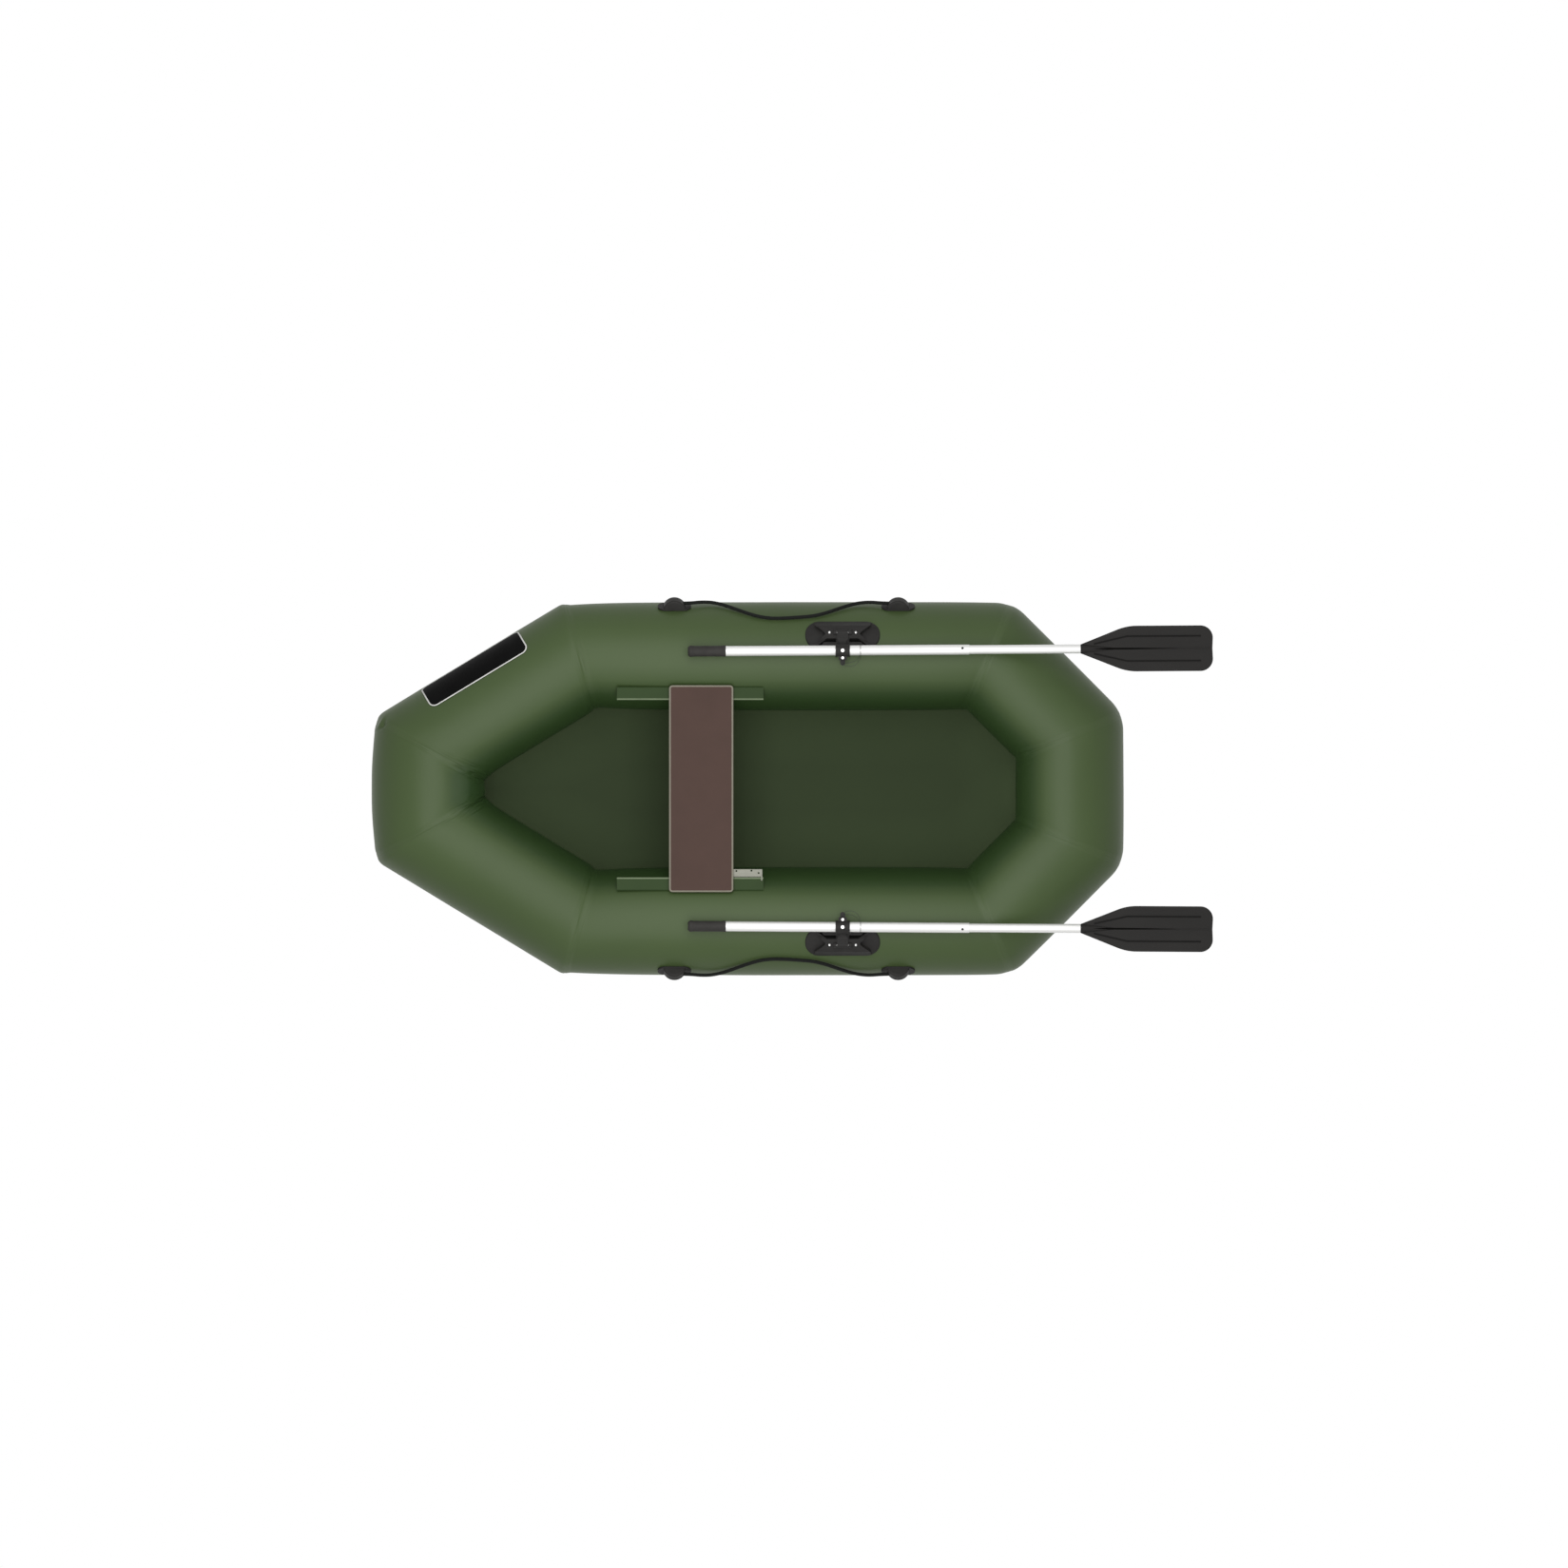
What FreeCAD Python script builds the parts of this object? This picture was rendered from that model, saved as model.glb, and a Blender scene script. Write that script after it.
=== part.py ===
import FreeCAD, Part
import math
import os
import re
import Sketcher

# One-person inflatable rowing boat with a plank seat, two oars in swivelling oarlocks and two
# grab ropes. Millimetres; +X to the bow, +Y to port, +Z up. The origin is at the middle of the
# hull's length and width, on the underside of the floor, which is level with the tubes' undersides.

os.makedirs("parts", exist_ok=True)

doc = FreeCAD.newDocument("RowingBoat")
sheet = doc.addObject("Spreadsheet::Sheet", "Sizes")

# Driving dimensions in millimetres, and angles in degrees.
DRIVING = {
    # hull of eight mitred air tubes
    "hull_length": 2000,
    "hull_width": 996,
    "tube_dia": 290,
    "nose_width": 380,
    "stern_width": 402,
    "bow_angle": 31.2,
    "stern_angle": 45,
    "bow_round": 60,
    "stern_round": 110,
    "mitre_share": 0.999,
    "outline_ease": 0.5,
    "floor_thick": 3,
    "fit_gap": 0.3,
    # seat board and the runners under its ends
    "seat_back": 365,
    "seat_width": 171,
    "seat_rest": 77.5,
    "seat_thick": 12,
    "seat_corner": 9,
    "seat_bevel": 3,
    "runner_inset": 3,
    "runner_tail": 80,
    "runner_strip": 19,
    "runner_thick": 2.5,
    "runner_drop": 10.6,
    "runner_hook": 11,
    "runner_clear": 2.5,
    "runner_tab": 11,
    "runner_tab_length": 3,
    "runner_hole_dia": 5,
    # beaded flaps on the side tubes, which the runners hook
    "flap_lead": 224.5,
    "flap_length": 390,
    "flap_below": 4.5,
    "flap_foot": 21,
    "flap_reach": 35,
    "flap_thick": 2.5,
    "flap_foot_thick": 1.2,
    "bead_dia": 5,
    # rope eyes and grab ropes
    "eye_fore_x": 198,
    "eye_aft_x": -398,
    "eye_angle": 64,
    "eye_base_length": 89,
    "eye_base_width": 40,
    "eye_base_thick": 4,
    "eye_base_corner": 19,
    "eye_hood_dia": 61,
    "eye_hood_width": 30,
    "eye_hood_shift": 4.5,
    "eye_hood_sink": 4,
    "eye_hood_round": 5,
    "eye_socket_lift": 12,
    "eye_socket_depth": 14,
    "eye_socket_play": 0.6,
    "rope_dia": 9,
    # oarlocks
    "lock_x": -250,
    "lock_angle": 22.7,
    "pad_length": 199,
    "pad_width": 81,
    "pad_thick": 4,
    "pad_corner": 39,
    "pad_edge": 2.5,
    "housing_top": 20,
    "housing_bevel": 2.5,
    "housing_skin": 2,
    "housing_screw_pitch": 70,
    "housing_screw_dia": 9,
    "housing_screw_sink": 2,
    "hinge_lift": 18.6,
    "stop_inner_share": 0.61,
    "stop_outer_share": 0.86,
    "hinge_pin_dia": 6,
    "pin_fit": 0.1,
    "knuckle_dia": 17,
    "knuckle_width": 30,
    "lug_width": 9,
    "slot_gap": 0.6,
    "arm_reach": 48,
    "arm_neck": 18,
    "arm_taper": 8,
    "arm_groove": 2,
    "arm_groove_deep": 1.2,
    "arm_thick": 6.7,
    "arm_eye_dia": 32,
    "oar_rise": 27,
    "collar_length": 38,
    "collar_dia": 36,
    "collar_waist": 34,
    "collar_band": 3.5,
    "collar_boss_dia": 28,
    "collar_boss_thick": 4,
    "clamp_lug_width": 22,
    "clamp_lug_reach": 26,
    "clamp_lug_thick": 14,
    "clamp_tab_width": 13,
    "clamp_tab_reach": 40,
    "clamp_tab_thick": 6,
    "clamp_slot": 1,
    "clamp_screw_dia": 4,
    "clamp_screw_reach": 20,
    "clamp_head_dia": 7,
    "clamp_head_thick": 2.5,
    "wire_hole_dia": 2.5,
    "swivel_dia": 6,
    "swivel_head_dia": 9,
    "swivel_head_thick": 3,
    "swivel_nut_thick": 3,
    # two-piece oars
    "oar_toe": 0.35,
    "grip_end": 412,
    "grip_length": 101,
    "grip_dia": 30,
    "grip_waist": 28.4,
    "grip_cap": 11,
    "grip_round": 5,
    "fore_dia": 27,
    "fore_wall": 1.5,
    "fore_aft_end": 337,
    "aft_wall": 1.4,
    "sleeve_overlap": 60,
    "blade_start": 633,
    "blade_length": 354,
    "blade_width": 121.5,
    "blade_thick": 5,
    "blade_flare": 123,
    "blade_shoulder": 140,
    "blade_tip_round": 33,
    "blade_edge": 1.4,
    "blade_hollow": 3,
    "groove_start": 33,
    "groove_wide_start": 74,
    "groove_wide_end": 124,
    "groove_end": 264,
    "groove_width": 5,
    "groove_core": 2.4,
    "spigot_length": 60,
    "spine_run": 90,
    "spine_tip_dia": 7,
    "spine_stop": 12,
    "rib_width": 4,
    "rib_proud": 1.6,
    "rib_start": 36,
    "rib_bend": 124,
    "rib_stop": 34,
    "rib_spread": 31,
    "rib_start_spread": 11,
    # blank plate on the starboard bow tube
    "plate_length": 304,
    "plate_width": 111,
    "plate_thick": 1,
    "plate_corner": 20,
    "plate_angle": 57,
    # air valves in the stern tube, below its widest line
    "valve_y": 120,
    "valve_angle": 125,
    "valve_dia": 52,
    "valve_flange": 3,
    "valve_cap_dia": 36,
    "valve_cap": 9,
    "valve_notch_dia": 7,
    "valve_notch_deep": 6,
    # one length by which cutting shapes run past what they cut
    "overrun": 12,
}

# Sizes worked out from the driving ones.
DERIVED = {
    "tube_r": "tube_dia / 2",
    "side_deep": "tube_dia + overrun",
    "nose_deep": "min(tube_dia + overrun; mitre_share * nose_width / 2 / tan((90 - bow_angle) / 2))",
    "stern_deep": "min(tube_dia + overrun; mitre_share * stern_width / 2 / tan((90 - stern_angle) / 2))",
    "side_y": "hull_width / 2 - tube_dia / 2",
    "nose_turn": "(90 - bow_angle) / 2",
    "stern_turn": "(90 - stern_angle) / 2",
    "bow_x": "hull_length / 2",
    "nose_y": "nose_width / 2",
    "beam_y": "hull_width / 2",
    "stern_y": "stern_width / 2",
    "shoulder_x": "hull_length / 2 - (hull_width - nose_width) / 2 / tan(bow_angle)",
    "quarter_x": "(hull_width - stern_width) / 2 / tan(stern_angle) - hull_length / 2",
    "seat_x": "hull_length / 2 - (hull_width - nose_width) / 2 / tan(bow_angle) - seat_back",
    "flap_aft": "seat_x + flap_lead - flap_length",
    "floor_inset": "tube_dia / 2 + sqrt(floor_thick * (tube_dia - floor_thick)) + fit_gap",
    "seat_span": "hull_width - tube_dia - 2 * seat_rest",
    "flap_top": "seat_rest + flap_below",
    "seat_under": "tube_dia / 2 + sqrt((tube_dia / 2) ^ 2 - (seat_rest) ^ 2) + fit_gap",
    "flap_r": "tube_dia / 2 + fit_gap",
    "flap_root_y": "(hull_width - tube_dia) / 2 - flap_top",
    "flap_under": "tube_dia / 2 + sqrt((tube_dia / 2) ^ 2 - flap_top ^ 2) - flap_thick",
    "bead_y": "(hull_width - tube_dia) / 2 - flap_top - flap_reach + bead_dia / 2",
    "bead_z": "tube_dia / 2 + sqrt((tube_dia / 2) ^ 2 - flap_top ^ 2) - flap_thick / 2",
    "runner_y": "(hull_width - tube_dia) / 2 - flap_top - flap_reach - runner_clear",
    "pad_r": "tube_dia / 2 + fit_gap",
    "housing_r": "tube_dia / 2 + pad_thick + 2 * fit_gap",
    "hinge_y": "(hull_width - tube_dia) / 2 + (tube_dia / 2 + hinge_lift) * sin(lock_angle)",
    "hinge_z": "tube_dia / 2 + (tube_dia / 2 + hinge_lift) * cos(lock_angle)",
    "swivel_y": "(hull_width - tube_dia) / 2 + (tube_dia / 2 + hinge_lift) * sin(lock_angle) - arm_reach",
    "oar_z": "tube_dia / 2 + (tube_dia / 2 + hinge_lift) * cos(lock_angle) + oar_rise",
    "arm_top": "oar_rise - collar_dia / 2 - fit_gap",
    "arm_under": "oar_rise - collar_dia / 2 - fit_gap - arm_thick",
    "aft_dia": "fore_dia - 2 * fore_wall - 2 * pin_fit",
    "bow_run": "(hull_width - nose_width) / 2 / sin(bow_angle)",
    "quarter_run": "(hull_width - stern_width) / 2 / sin(stern_angle)",
    "stop_rest": "hinge_lift + (arm_under - fit_gap) / cos(lock_angle)",
    "stop_top": "stop_rest - stop_inner_share * pad_width / 2 * tan(lock_angle)",
    "stop_low": "stop_rest - stop_outer_share * pad_width / 2 * tan(lock_angle)",
}

row = 0
for table in (DRIVING, DERIVED):
    for name, entry in table.items():
        row += 1
        sheet.set(f"A{row}", name)
        sheet.set(f"B{row}", f"={entry}" if table is DERIVED else str(entry))
        sheet.setAlias(f"B{row}", name)
doc.recompute()

SIZE_WORD = re.compile(r"\b(" + "|".join([*DRIVING, *DERIVED]) + r")\b")
nodes = []


def formula(text):
    """A formula with each size's name made a reference to its cell."""
    return SIZE_WORD.sub(r"Sizes.\1", text)


def size(text):
    """The value of a formula in the sheet's sizes."""
    return float(sheet.evalExpression(formula(text)))


def bind(thing, **formulas):
    """Ties each named property to a formula."""
    for name, text in formulas.items():
        thing.setExpression(name, formula(text))
    return thing


def place(thing, x="0", y="0", z="0", turn="0; 0; 0"):
    """Ties an object's place to formulas; turn is yaw, pitch and roll, or an axis and an angle."""
    return bind(thing, Placement=f"placement(vector({x}; {y}; {z}); rotation({turn}))")


def node(thing, label):
    """Makes an object one of the part's own pieces, under a plain name."""
    thing.Label = label
    nodes.append(thing)
    return thing


def cylinder(name, radius, length, x="0", y="0", z="0", turn="0; 0; 0"):
    thing = doc.addObject("Part::Cylinder", name)
    bind(thing, Radius=radius, Height=length)
    return place(thing, x, y, z, turn)


def block(name, along, across, up, x="0", y="0", z="0", turn="0; 0; 0"):
    thing = doc.addObject("Part::Box", name)
    bind(thing, Length=along, Width=across, Height=up)
    return place(thing, x, y, z, turn)


def cut(name, base, tool):
    thing = doc.addObject("Part::Cut", name)
    thing.Base = base
    thing.Tool = tool
    return thing


def fuse(name, *things):
    thing = doc.addObject("Part::MultiFuse", name)
    thing.Shapes = list(things)
    return thing


def common(name, *things):
    thing = doc.addObject("Part::MultiCommon", name)
    thing.Shapes = list(things)
    return thing


def mirrored(source, label):
    """The starboard twin of a piece on the port side."""
    thing = doc.addObject("Part::Mirroring", label)
    thing.Source = source
    thing.Base = (0, 0, 0)
    thing.Normal = (0, 1, 0)
    return node(thing, label)


def body_at(name, x="0", y="0", z="0", turn="0; 0; 0"):
    return place(doc.addObject("PartDesign::Body", name), x, y, z, turn)


def sketch_on(body, plane, offset="0"):
    """An empty sketch on one of the body's own origin planes, or parallel to it."""
    sketch = body.newObject("Sketcher::SketchObject", body.Name + "Sketch")
    face = [entry for entry in body.Origin.OriginFeatures if entry.Role == plane + "_Plane"][0]
    sketch.AttachmentSupport = (face, "")
    sketch.MapMode = "FlatFace"
    sketch.setExpression("AttachmentOffset.Base.z", formula(offset))
    return sketch


def outline(sketch, corners):
    """A closed outline of straight sides, each corner tied to two formulas."""
    spots = [FreeCAD.Vector(size(across), size(up), 0) for across, up in corners]
    first = sketch.GeometryCount
    count = len(spots)
    for index, spot in enumerate(spots):
        sketch.addGeometry(Part.LineSegment(spot, spots[(index + 1) % count]), False)
    for index in range(count):
        following = first + (index + 1) % count
        sketch.addConstraint(Sketcher.Constraint("Coincident", first + index, 2, following, 1))
    for index, (across, up) in enumerate(corners):
        hold_point(sketch, first + index, 1, across, up)
    return sketch


def rectangle(sketch, along, across):
    """A rectangle about the sketch's own origin."""
    half = f"({along}) / 2"
    side = f"({across}) / 2"
    return outline(sketch, [(f"-{half}", f"-{side}"), (half, f"-{side}"), (half, side), (f"-{half}", side)])


def ring(sketch, across, up, radius):
    """A circle whose centre and radius are tied to formulas."""
    centre = FreeCAD.Vector(size(across), size(up), 0)
    index = sketch.GeometryCount
    sketch.addGeometry(Part.Circle(centre, FreeCAD.Vector(0, 0, 1), size(radius)), False)
    hold_point(sketch, index, 3, across, up)
    dimension = sketch.addConstraint(Sketcher.Constraint("Radius", index, size(radius)))
    sketch.setExpression(f"Constraints[{dimension}]", formula(radius))
    return sketch


def hold_point(sketch, index, end, across, up):
    for kind, text in (("DistanceX", across), ("DistanceY", up)):
        dimension = sketch.addConstraint(Sketcher.Constraint(kind, -1, 1, index, end, size(text)))
        sketch.setExpression(f"Constraints[{dimension}]", formula(text))


def pad(sketch, length, midplane=False):
    body = sketch.getParentGeoFeatureGroup()
    feature = body.newObject("PartDesign::Pad", body.Name + "Pad")
    feature.Profile = sketch
    bind(feature, Length=length)
    feature.Midplane = midplane
    return feature


def pocket(sketch, length="", midplane=False):
    """A pocket to a depth, or through all when no length is given."""
    body = sketch.getParentGeoFeatureGroup()
    feature = body.newObject("PartDesign::Pocket", body.Name + "Pocket")
    feature.Profile = sketch
    feature.Midplane = midplane
    if length:
        bind(feature, Length=length)
    else:
        feature.Type = "ThroughAll"
    return feature


def revolve(sketch, axis="H_Axis"):
    body = sketch.getParentGeoFeatureGroup()
    feature = body.newObject("PartDesign::Revolution", body.Name + "Revolution")
    feature.Profile = sketch
    feature.ReferenceAxis = (sketch, [axis])
    return feature


def soften(body, kind, amount, choose):
    """A fillet or chamfer on the edges of the body's tip that choose accepts."""
    doc.recompute()
    tip = body.Tip
    picked = [f"Edge{i}" for i, edge in enumerate(tip.Shape.Edges, 1) if choose(edge)]
    feature = body.newObject("PartDesign::" + kind, body.Name + kind)
    feature.Base = (tip, picked)
    bind(feature, **{"Radius" if kind == "Fillet" else "Size": amount})
    return feature


def upright(edge):
    """True for a straight edge along the body's own Z."""
    ends = [vertex.Point for vertex in edge.Vertexes]
    return len(ends) == 2 and (ends[1] - ends[0]).cross(FreeCAD.Vector(0, 0, 1)).Length < 1e-6


# Hull: eight straight tubes on an octagon, mitred into each other.

def octagon(side, nose="", stern=""):
    """The plan's corners from the port side of the nose round by the stern, moved inward."""
    nose = nose or side
    stern = stern or side
    port = [
        (f"bow_x - ({nose})", f"nose_y - ({nose}) * tan(nose_turn)"),
        (f"shoulder_x - ({side}) * tan(bow_angle / 2)", f"beam_y - ({side})"),
        (f"quarter_x + ({side}) * tan(stern_angle / 2)", f"beam_y - ({side})"),
        (f"({stern}) - bow_x", f"stern_y - ({stern}) * tan(stern_turn)"),
    ]
    starboard = [(across, f"-({up})") for across, up in reversed(port)]
    return port + starboard


def plan_corner(edge):
    """True for an upright edge at one of the bow's own corners."""
    spot = edge.Vertexes[0].Point
    ends = [FreeCAD.Vector(size(x), size(y), spot.z) for x, y in octagon("-outline_ease")]
    return any(spot.distanceToPoint(end) < 1e-3 for end in ends)


plan = body_at("HullPlan")
pad(outline(sketch_on(plan, "XY", "-overrun"), octagon("-outline_ease")), "tube_dia + 2 * overrun")
soften(plan, "Fillet", "stern_round", lambda edge: upright(edge) and edge.BoundBox.XMax < 0)
soften(plan, "Fillet", "bow_round", lambda edge: upright(edge) and edge.BoundBox.XMin > 0
       and plan_corner(edge))


def tube(label, corner, following, x, y, yaw, length):
    """A round tube cut by its two mitre planes; its outer side starts at x, y and runs along yaw."""
    outer = octagon("-overrun")
    inner = octagon("side_deep", "nose_deep", "stern_deep")
    sector = body_at(label + "_sector")
    corners = [outer[corner], outer[following], inner[following], inner[corner]]
    pad(outline(sketch_on(sector, "XY", "-overrun"), corners), "tube_dia + 2 * overrun")
    along = f"({x}) + tube_r * sin({yaw}) - tube_dia * cos({yaw})"
    across = f"({y}) - tube_r * cos({yaw}) - tube_dia * sin({yaw})"
    bar = cylinder(label + "_bar", "tube_r", f"({length}) + 2 * tube_dia", along, across, "tube_r",
                   f"{yaw}; 90; 0")
    return node(common(label, bar, sector, plan), label)


tube("tube_nose", 7, 0, "bow_x", "nose_y", "-90", "nose_width")
tube("tube_stern", 3, 4, "-bow_x", "-stern_y", "90", "stern_width")
port_bow = tube("tube_port_bow", 0, 1, "shoulder_x", "beam_y", "-bow_angle", "bow_run")
port_side = tube("tube_port_side", 1, 2, "quarter_x", "beam_y", "0", "shoulder_x - quarter_x")
port_quarter = tube("tube_port_quarter", 2, 3, "-bow_x", "stern_y", "stern_angle", "quarter_run")
mirrored(port_bow, "tube_starboard_bow")
mirrored(port_side, "tube_starboard_side")
mirrored(port_quarter, "tube_starboard_quarter")

floor = body_at("floor")
pad(outline(sketch_on(floor, "XY"), octagon("floor_inset")), "floor_thick")
node(floor, "floor")


def side_bar(name, radius, along="quarter_x", length="shoulder_x - quarter_x"):
    """A bar on the port side tube's own centre line."""
    return cylinder(name, radius, length, along, "side_y", "tube_r", "0; 90; 0")


# Flap: a beaded tongue that stands off the side tube, on a foot bonded to the tube.

tongue_depth = "side_y - bead_y"
tongue = block("flap_tongue", "flap_length", tongue_depth, "flap_thick",
               "flap_aft", "bead_y", "flap_under")
foot = block("flap_foot_block", "flap_length", "flap_foot", "tube_r",
             "flap_aft", "side_y - flap_top - flap_foot", "tube_r")
foot = common("flap_foot", foot, side_bar("flap_foot_bar", "flap_r + flap_foot_thick"))
bead = cylinder("flap_bead", "bead_dia / 2", "flap_length", "flap_aft", "bead_y", "bead_z", "0; 90; 0")
trim = block("flap_trim", "flap_length", "flap_top", "tube_dia", "flap_aft", "flap_root_y", "0")
flap = fuse("flap_whole", tongue, foot, bead)
flap = cut("flap_seated", flap, side_bar("flap_seat_bar", "flap_r"))
flap = node(cut("flap_port", flap, trim), "flap_port")
mirrored(flap, "flap_starboard")


# Seat board, rounded at its corners and bevelled all round.

seat = body_at("seat_board", "seat_x", "0", "seat_under")
pad(rectangle(sketch_on(seat, "XY"), "seat_width", "seat_span"), "seat_thick")
soften(seat, "Fillet", "seat_corner", upright)
seat_top = size("seat_thick")
soften(seat, "Chamfer", "seat_bevel", lambda edge: all(
    abs(vertex.Point.z - seat_top) < 1e-6 for vertex in edge.Vertexes))
node(seat, "seat_board")


def runner(label, hand, tail):
    """A metal strip under one end of the board, folded down and round the flap's bead."""
    start = f"seat_x - seat_width / 2 + runner_inset - ({tail})"
    length = f"seat_width - 2 * runner_inset + ({tail})"
    strip = body_at(label, start, "0", "seat_under")
    inner = "runner_y - runner_strip"
    web = "runner_y - runner_thick"
    hook = "runner_y + runner_hook"
    corners = [
        (inner, "-fit_gap"), ("runner_y", "-fit_gap"), ("runner_y", "runner_thick - runner_drop"),
        (hook, "runner_thick - runner_drop"), (hook, "-runner_drop"), (web, "-runner_drop"),
        (web, "-fit_gap - runner_thick"), (inner, "-fit_gap - runner_thick")]
    pad(outline(sketch_on(strip, "YZ"), [(f"{hand} * ({y})", z) for y, z in corners]), length)
    return strip


starboard_runner = runner("runner_starboard", "-1", "0")
node(starboard_runner, "runner_starboard")
port_runner = runner("runner_port", "1", "runner_tail")
tab = sketch_on(port_runner, "XY", "-fit_gap - runner_thick")
outline(tab, [("0", "runner_y - runner_thick"), ("runner_tab_length", "runner_y - runner_thick"),
              ("runner_tab_length", "runner_y"), ("0", "runner_y")])
pad(tab, "2 * runner_thick + fit_gap")
top_tab = sketch_on(port_runner, "XY", "0")
outline(top_tab, [("0", "runner_y - runner_thick"), ("runner_tab_length", "runner_y - runner_thick"),
                  ("runner_tab_length", "runner_y + runner_tab"), ("0", "runner_y + runner_tab")])
pad(top_tab, "runner_thick")
# Where its holes are, as shares of the tail's length and of the strip's width.
RUNNER_HOLE_SHARES = [(0.12, 0.52), (0.36, 0.2), (0.86, 0.25)]
holes = sketch_on(port_runner, "XY", "runner_thick")
for along, across in RUNNER_HOLE_SHARES:
    ring(holes, f"{along} * runner_tail", f"runner_y - runner_strip + {across} * runner_strip",
         "runner_hole_dia / 2")
pocket(holes)
node(port_runner, "runner_port")


# Rope eyes: a rounded hood on a base bonded to the outer side of the side tube.

def rope_eye(label, x, inward):
    """An eye whose rope enters it from one side: inward is the sign of X from the eye to the rope."""
    turn = "vector(1; 0; 0); -eye_angle"
    across = "side_y + tube_r * sin(eye_angle)"
    up = "tube_r + tube_r * cos(eye_angle)"
    base = body_at(label + "_body", x, across, up, turn)
    pad(rectangle(sketch_on(base, "XY", "-overrun"), "eye_base_length", "eye_base_width"),
        "overrun + eye_base_thick")
    soften(base, "Fillet", "eye_base_corner", upright)
    hood = sketch_on(base, "XZ", "eye_hood_shift")
    pad(ring(hood, "0", "-eye_hood_sink", "eye_hood_dia / 2"), "eye_hood_width", midplane=True)
    rim = size("eye_hood_dia / 2 - eye_hood_sink")
    soften(base, "Fillet", "eye_hood_round", lambda edge: abs(edge.BoundBox.ZMax - rim) < 1e-3
           and edge.BoundBox.YLength < 1e-6)
    socket = sketch_on(base, "YZ", f"{inward} * eye_hood_dia / 2 - {inward} * eye_socket_depth")
    ring(socket, "0", "eye_socket_lift", "rope_dia / 2 + eye_socket_play")
    drilled = pocket(socket)
    drilled.Reversed = inward == "1"
    seated = cut(label, base, side_bar(label + "_seat", "flap_r"))
    return node(seated, label)


for where, x, inward in (("fore", "eye_fore_x", "-1"), ("aft", "eye_aft_x", "1")):
    mirrored(rope_eye(f"rope_eye_port_{where}", x, inward), f"rope_eye_starboard_{where}")


# Oarlock on the hull: a pad bonded to the tube and a housing that carries the hinge pin.

LOCK = ("lock_x", "side_y + tube_r * sin(lock_angle)", "tube_r + tube_r * cos(lock_angle)",
        "vector(1; 0; 0); -lock_angle")

lock_pad = body_at("lock_pad_plan", *LOCK)
pad(rectangle(sketch_on(lock_pad, "XY", "-2 * overrun"), "pad_length", "pad_width"), "4 * overrun")
soften(lock_pad, "Fillet", "pad_corner", upright)
shell = cut("lock_pad_shell",
            side_bar("lock_pad_outer", "pad_r + pad_thick", "lock_x - pad_length", "2 * pad_length"),
            side_bar("lock_pad_inner", "pad_r", "lock_x - pad_length", "2 * pad_length"))
lock_pad = common("lock_pad_plate", lock_pad, shell)


def from_side_axis(point):
    """How far a point is from the port side tube's centre line."""
    return math.hypot(point.y - size("side_y"), point.z - size("tube_r"))


def pad_rim(edge):
    """True for an edge of the pad's outer face."""
    spots = [vertex.Point for vertex in edge.Vertexes]
    spots.append(edge.valueAt((edge.FirstParameter + edge.LastParameter) / 2))
    return all(abs(from_side_axis(spot) - size("pad_r + pad_thick")) < 1e-3 for spot in spots)


lock_pad_body = doc.addObject("PartDesign::Body", "lock_pad_body")
lock_pad_body.BaseFeature = lock_pad
soften(lock_pad_body, "Chamfer", "pad_edge", pad_rim)
node(lock_pad_body, "lock_pad_port")
mirrored(lock_pad_body, "lock_pad_starboard")

# The housing's plan, as shares of the pad's half length and half width, outboard edge first.
HOUSING_PLAN_SHARES = [
    (0.76, 0.9), (0.74, 0.52), (0.49, 0.02), (0.46, -0.14), (0.74, -0.78), (0.74, -0.92)]
# The recess behind the rail that stops the arm, in the same shares.
HOUSING_RECESS_SHARES = [
    (0.18, -0.41), (0.42, -0.41), (0.67, -0.8), (0.57, -0.8), (0.5, -0.61), (0.18, -0.61)]
# Its section across the hull: shares of the pad's half width, with a height.
HOUSING_SECTION_SHARES = [
    ("0.9", "-overrun"), ("0.9", "pad_thick / 2"), ("0.52", "housing_top - pad_thick"),
    ("0.3", "housing_top"), ("-0.34", "housing_top"), ("-0.41", "housing_top - housing_bevel"),
    ("-stop_inner_share", "stop_top"), ("-stop_outer_share", "stop_low"), ("-0.92", "-overrun")]


def on_pad(shares, hand="1"):
    """Corners on the pad's plan from shares of its half length and half width."""
    return [(f"{hand} * {along} * pad_length / 2", f"{across} * pad_width / 2") for along, across in shares]


profile = body_at("housing_section", *LOCK)
section = [(f"{share} * pad_width / 2", up) for share, up in HOUSING_SECTION_SHARES]
pad(outline(sketch_on(profile, "YZ"), section), "pad_length", midplane=True)
around = body_at("housing_plan", *LOCK)
both_halves = on_pad(HOUSING_PLAN_SHARES) + on_pad(reversed(HOUSING_PLAN_SHARES), "-1")
pad(outline(sketch_on(around, "XY", "-overrun"), both_halves), "hinge_lift + 2 * overrun")
housing = common("housing_block", profile, around)

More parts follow.
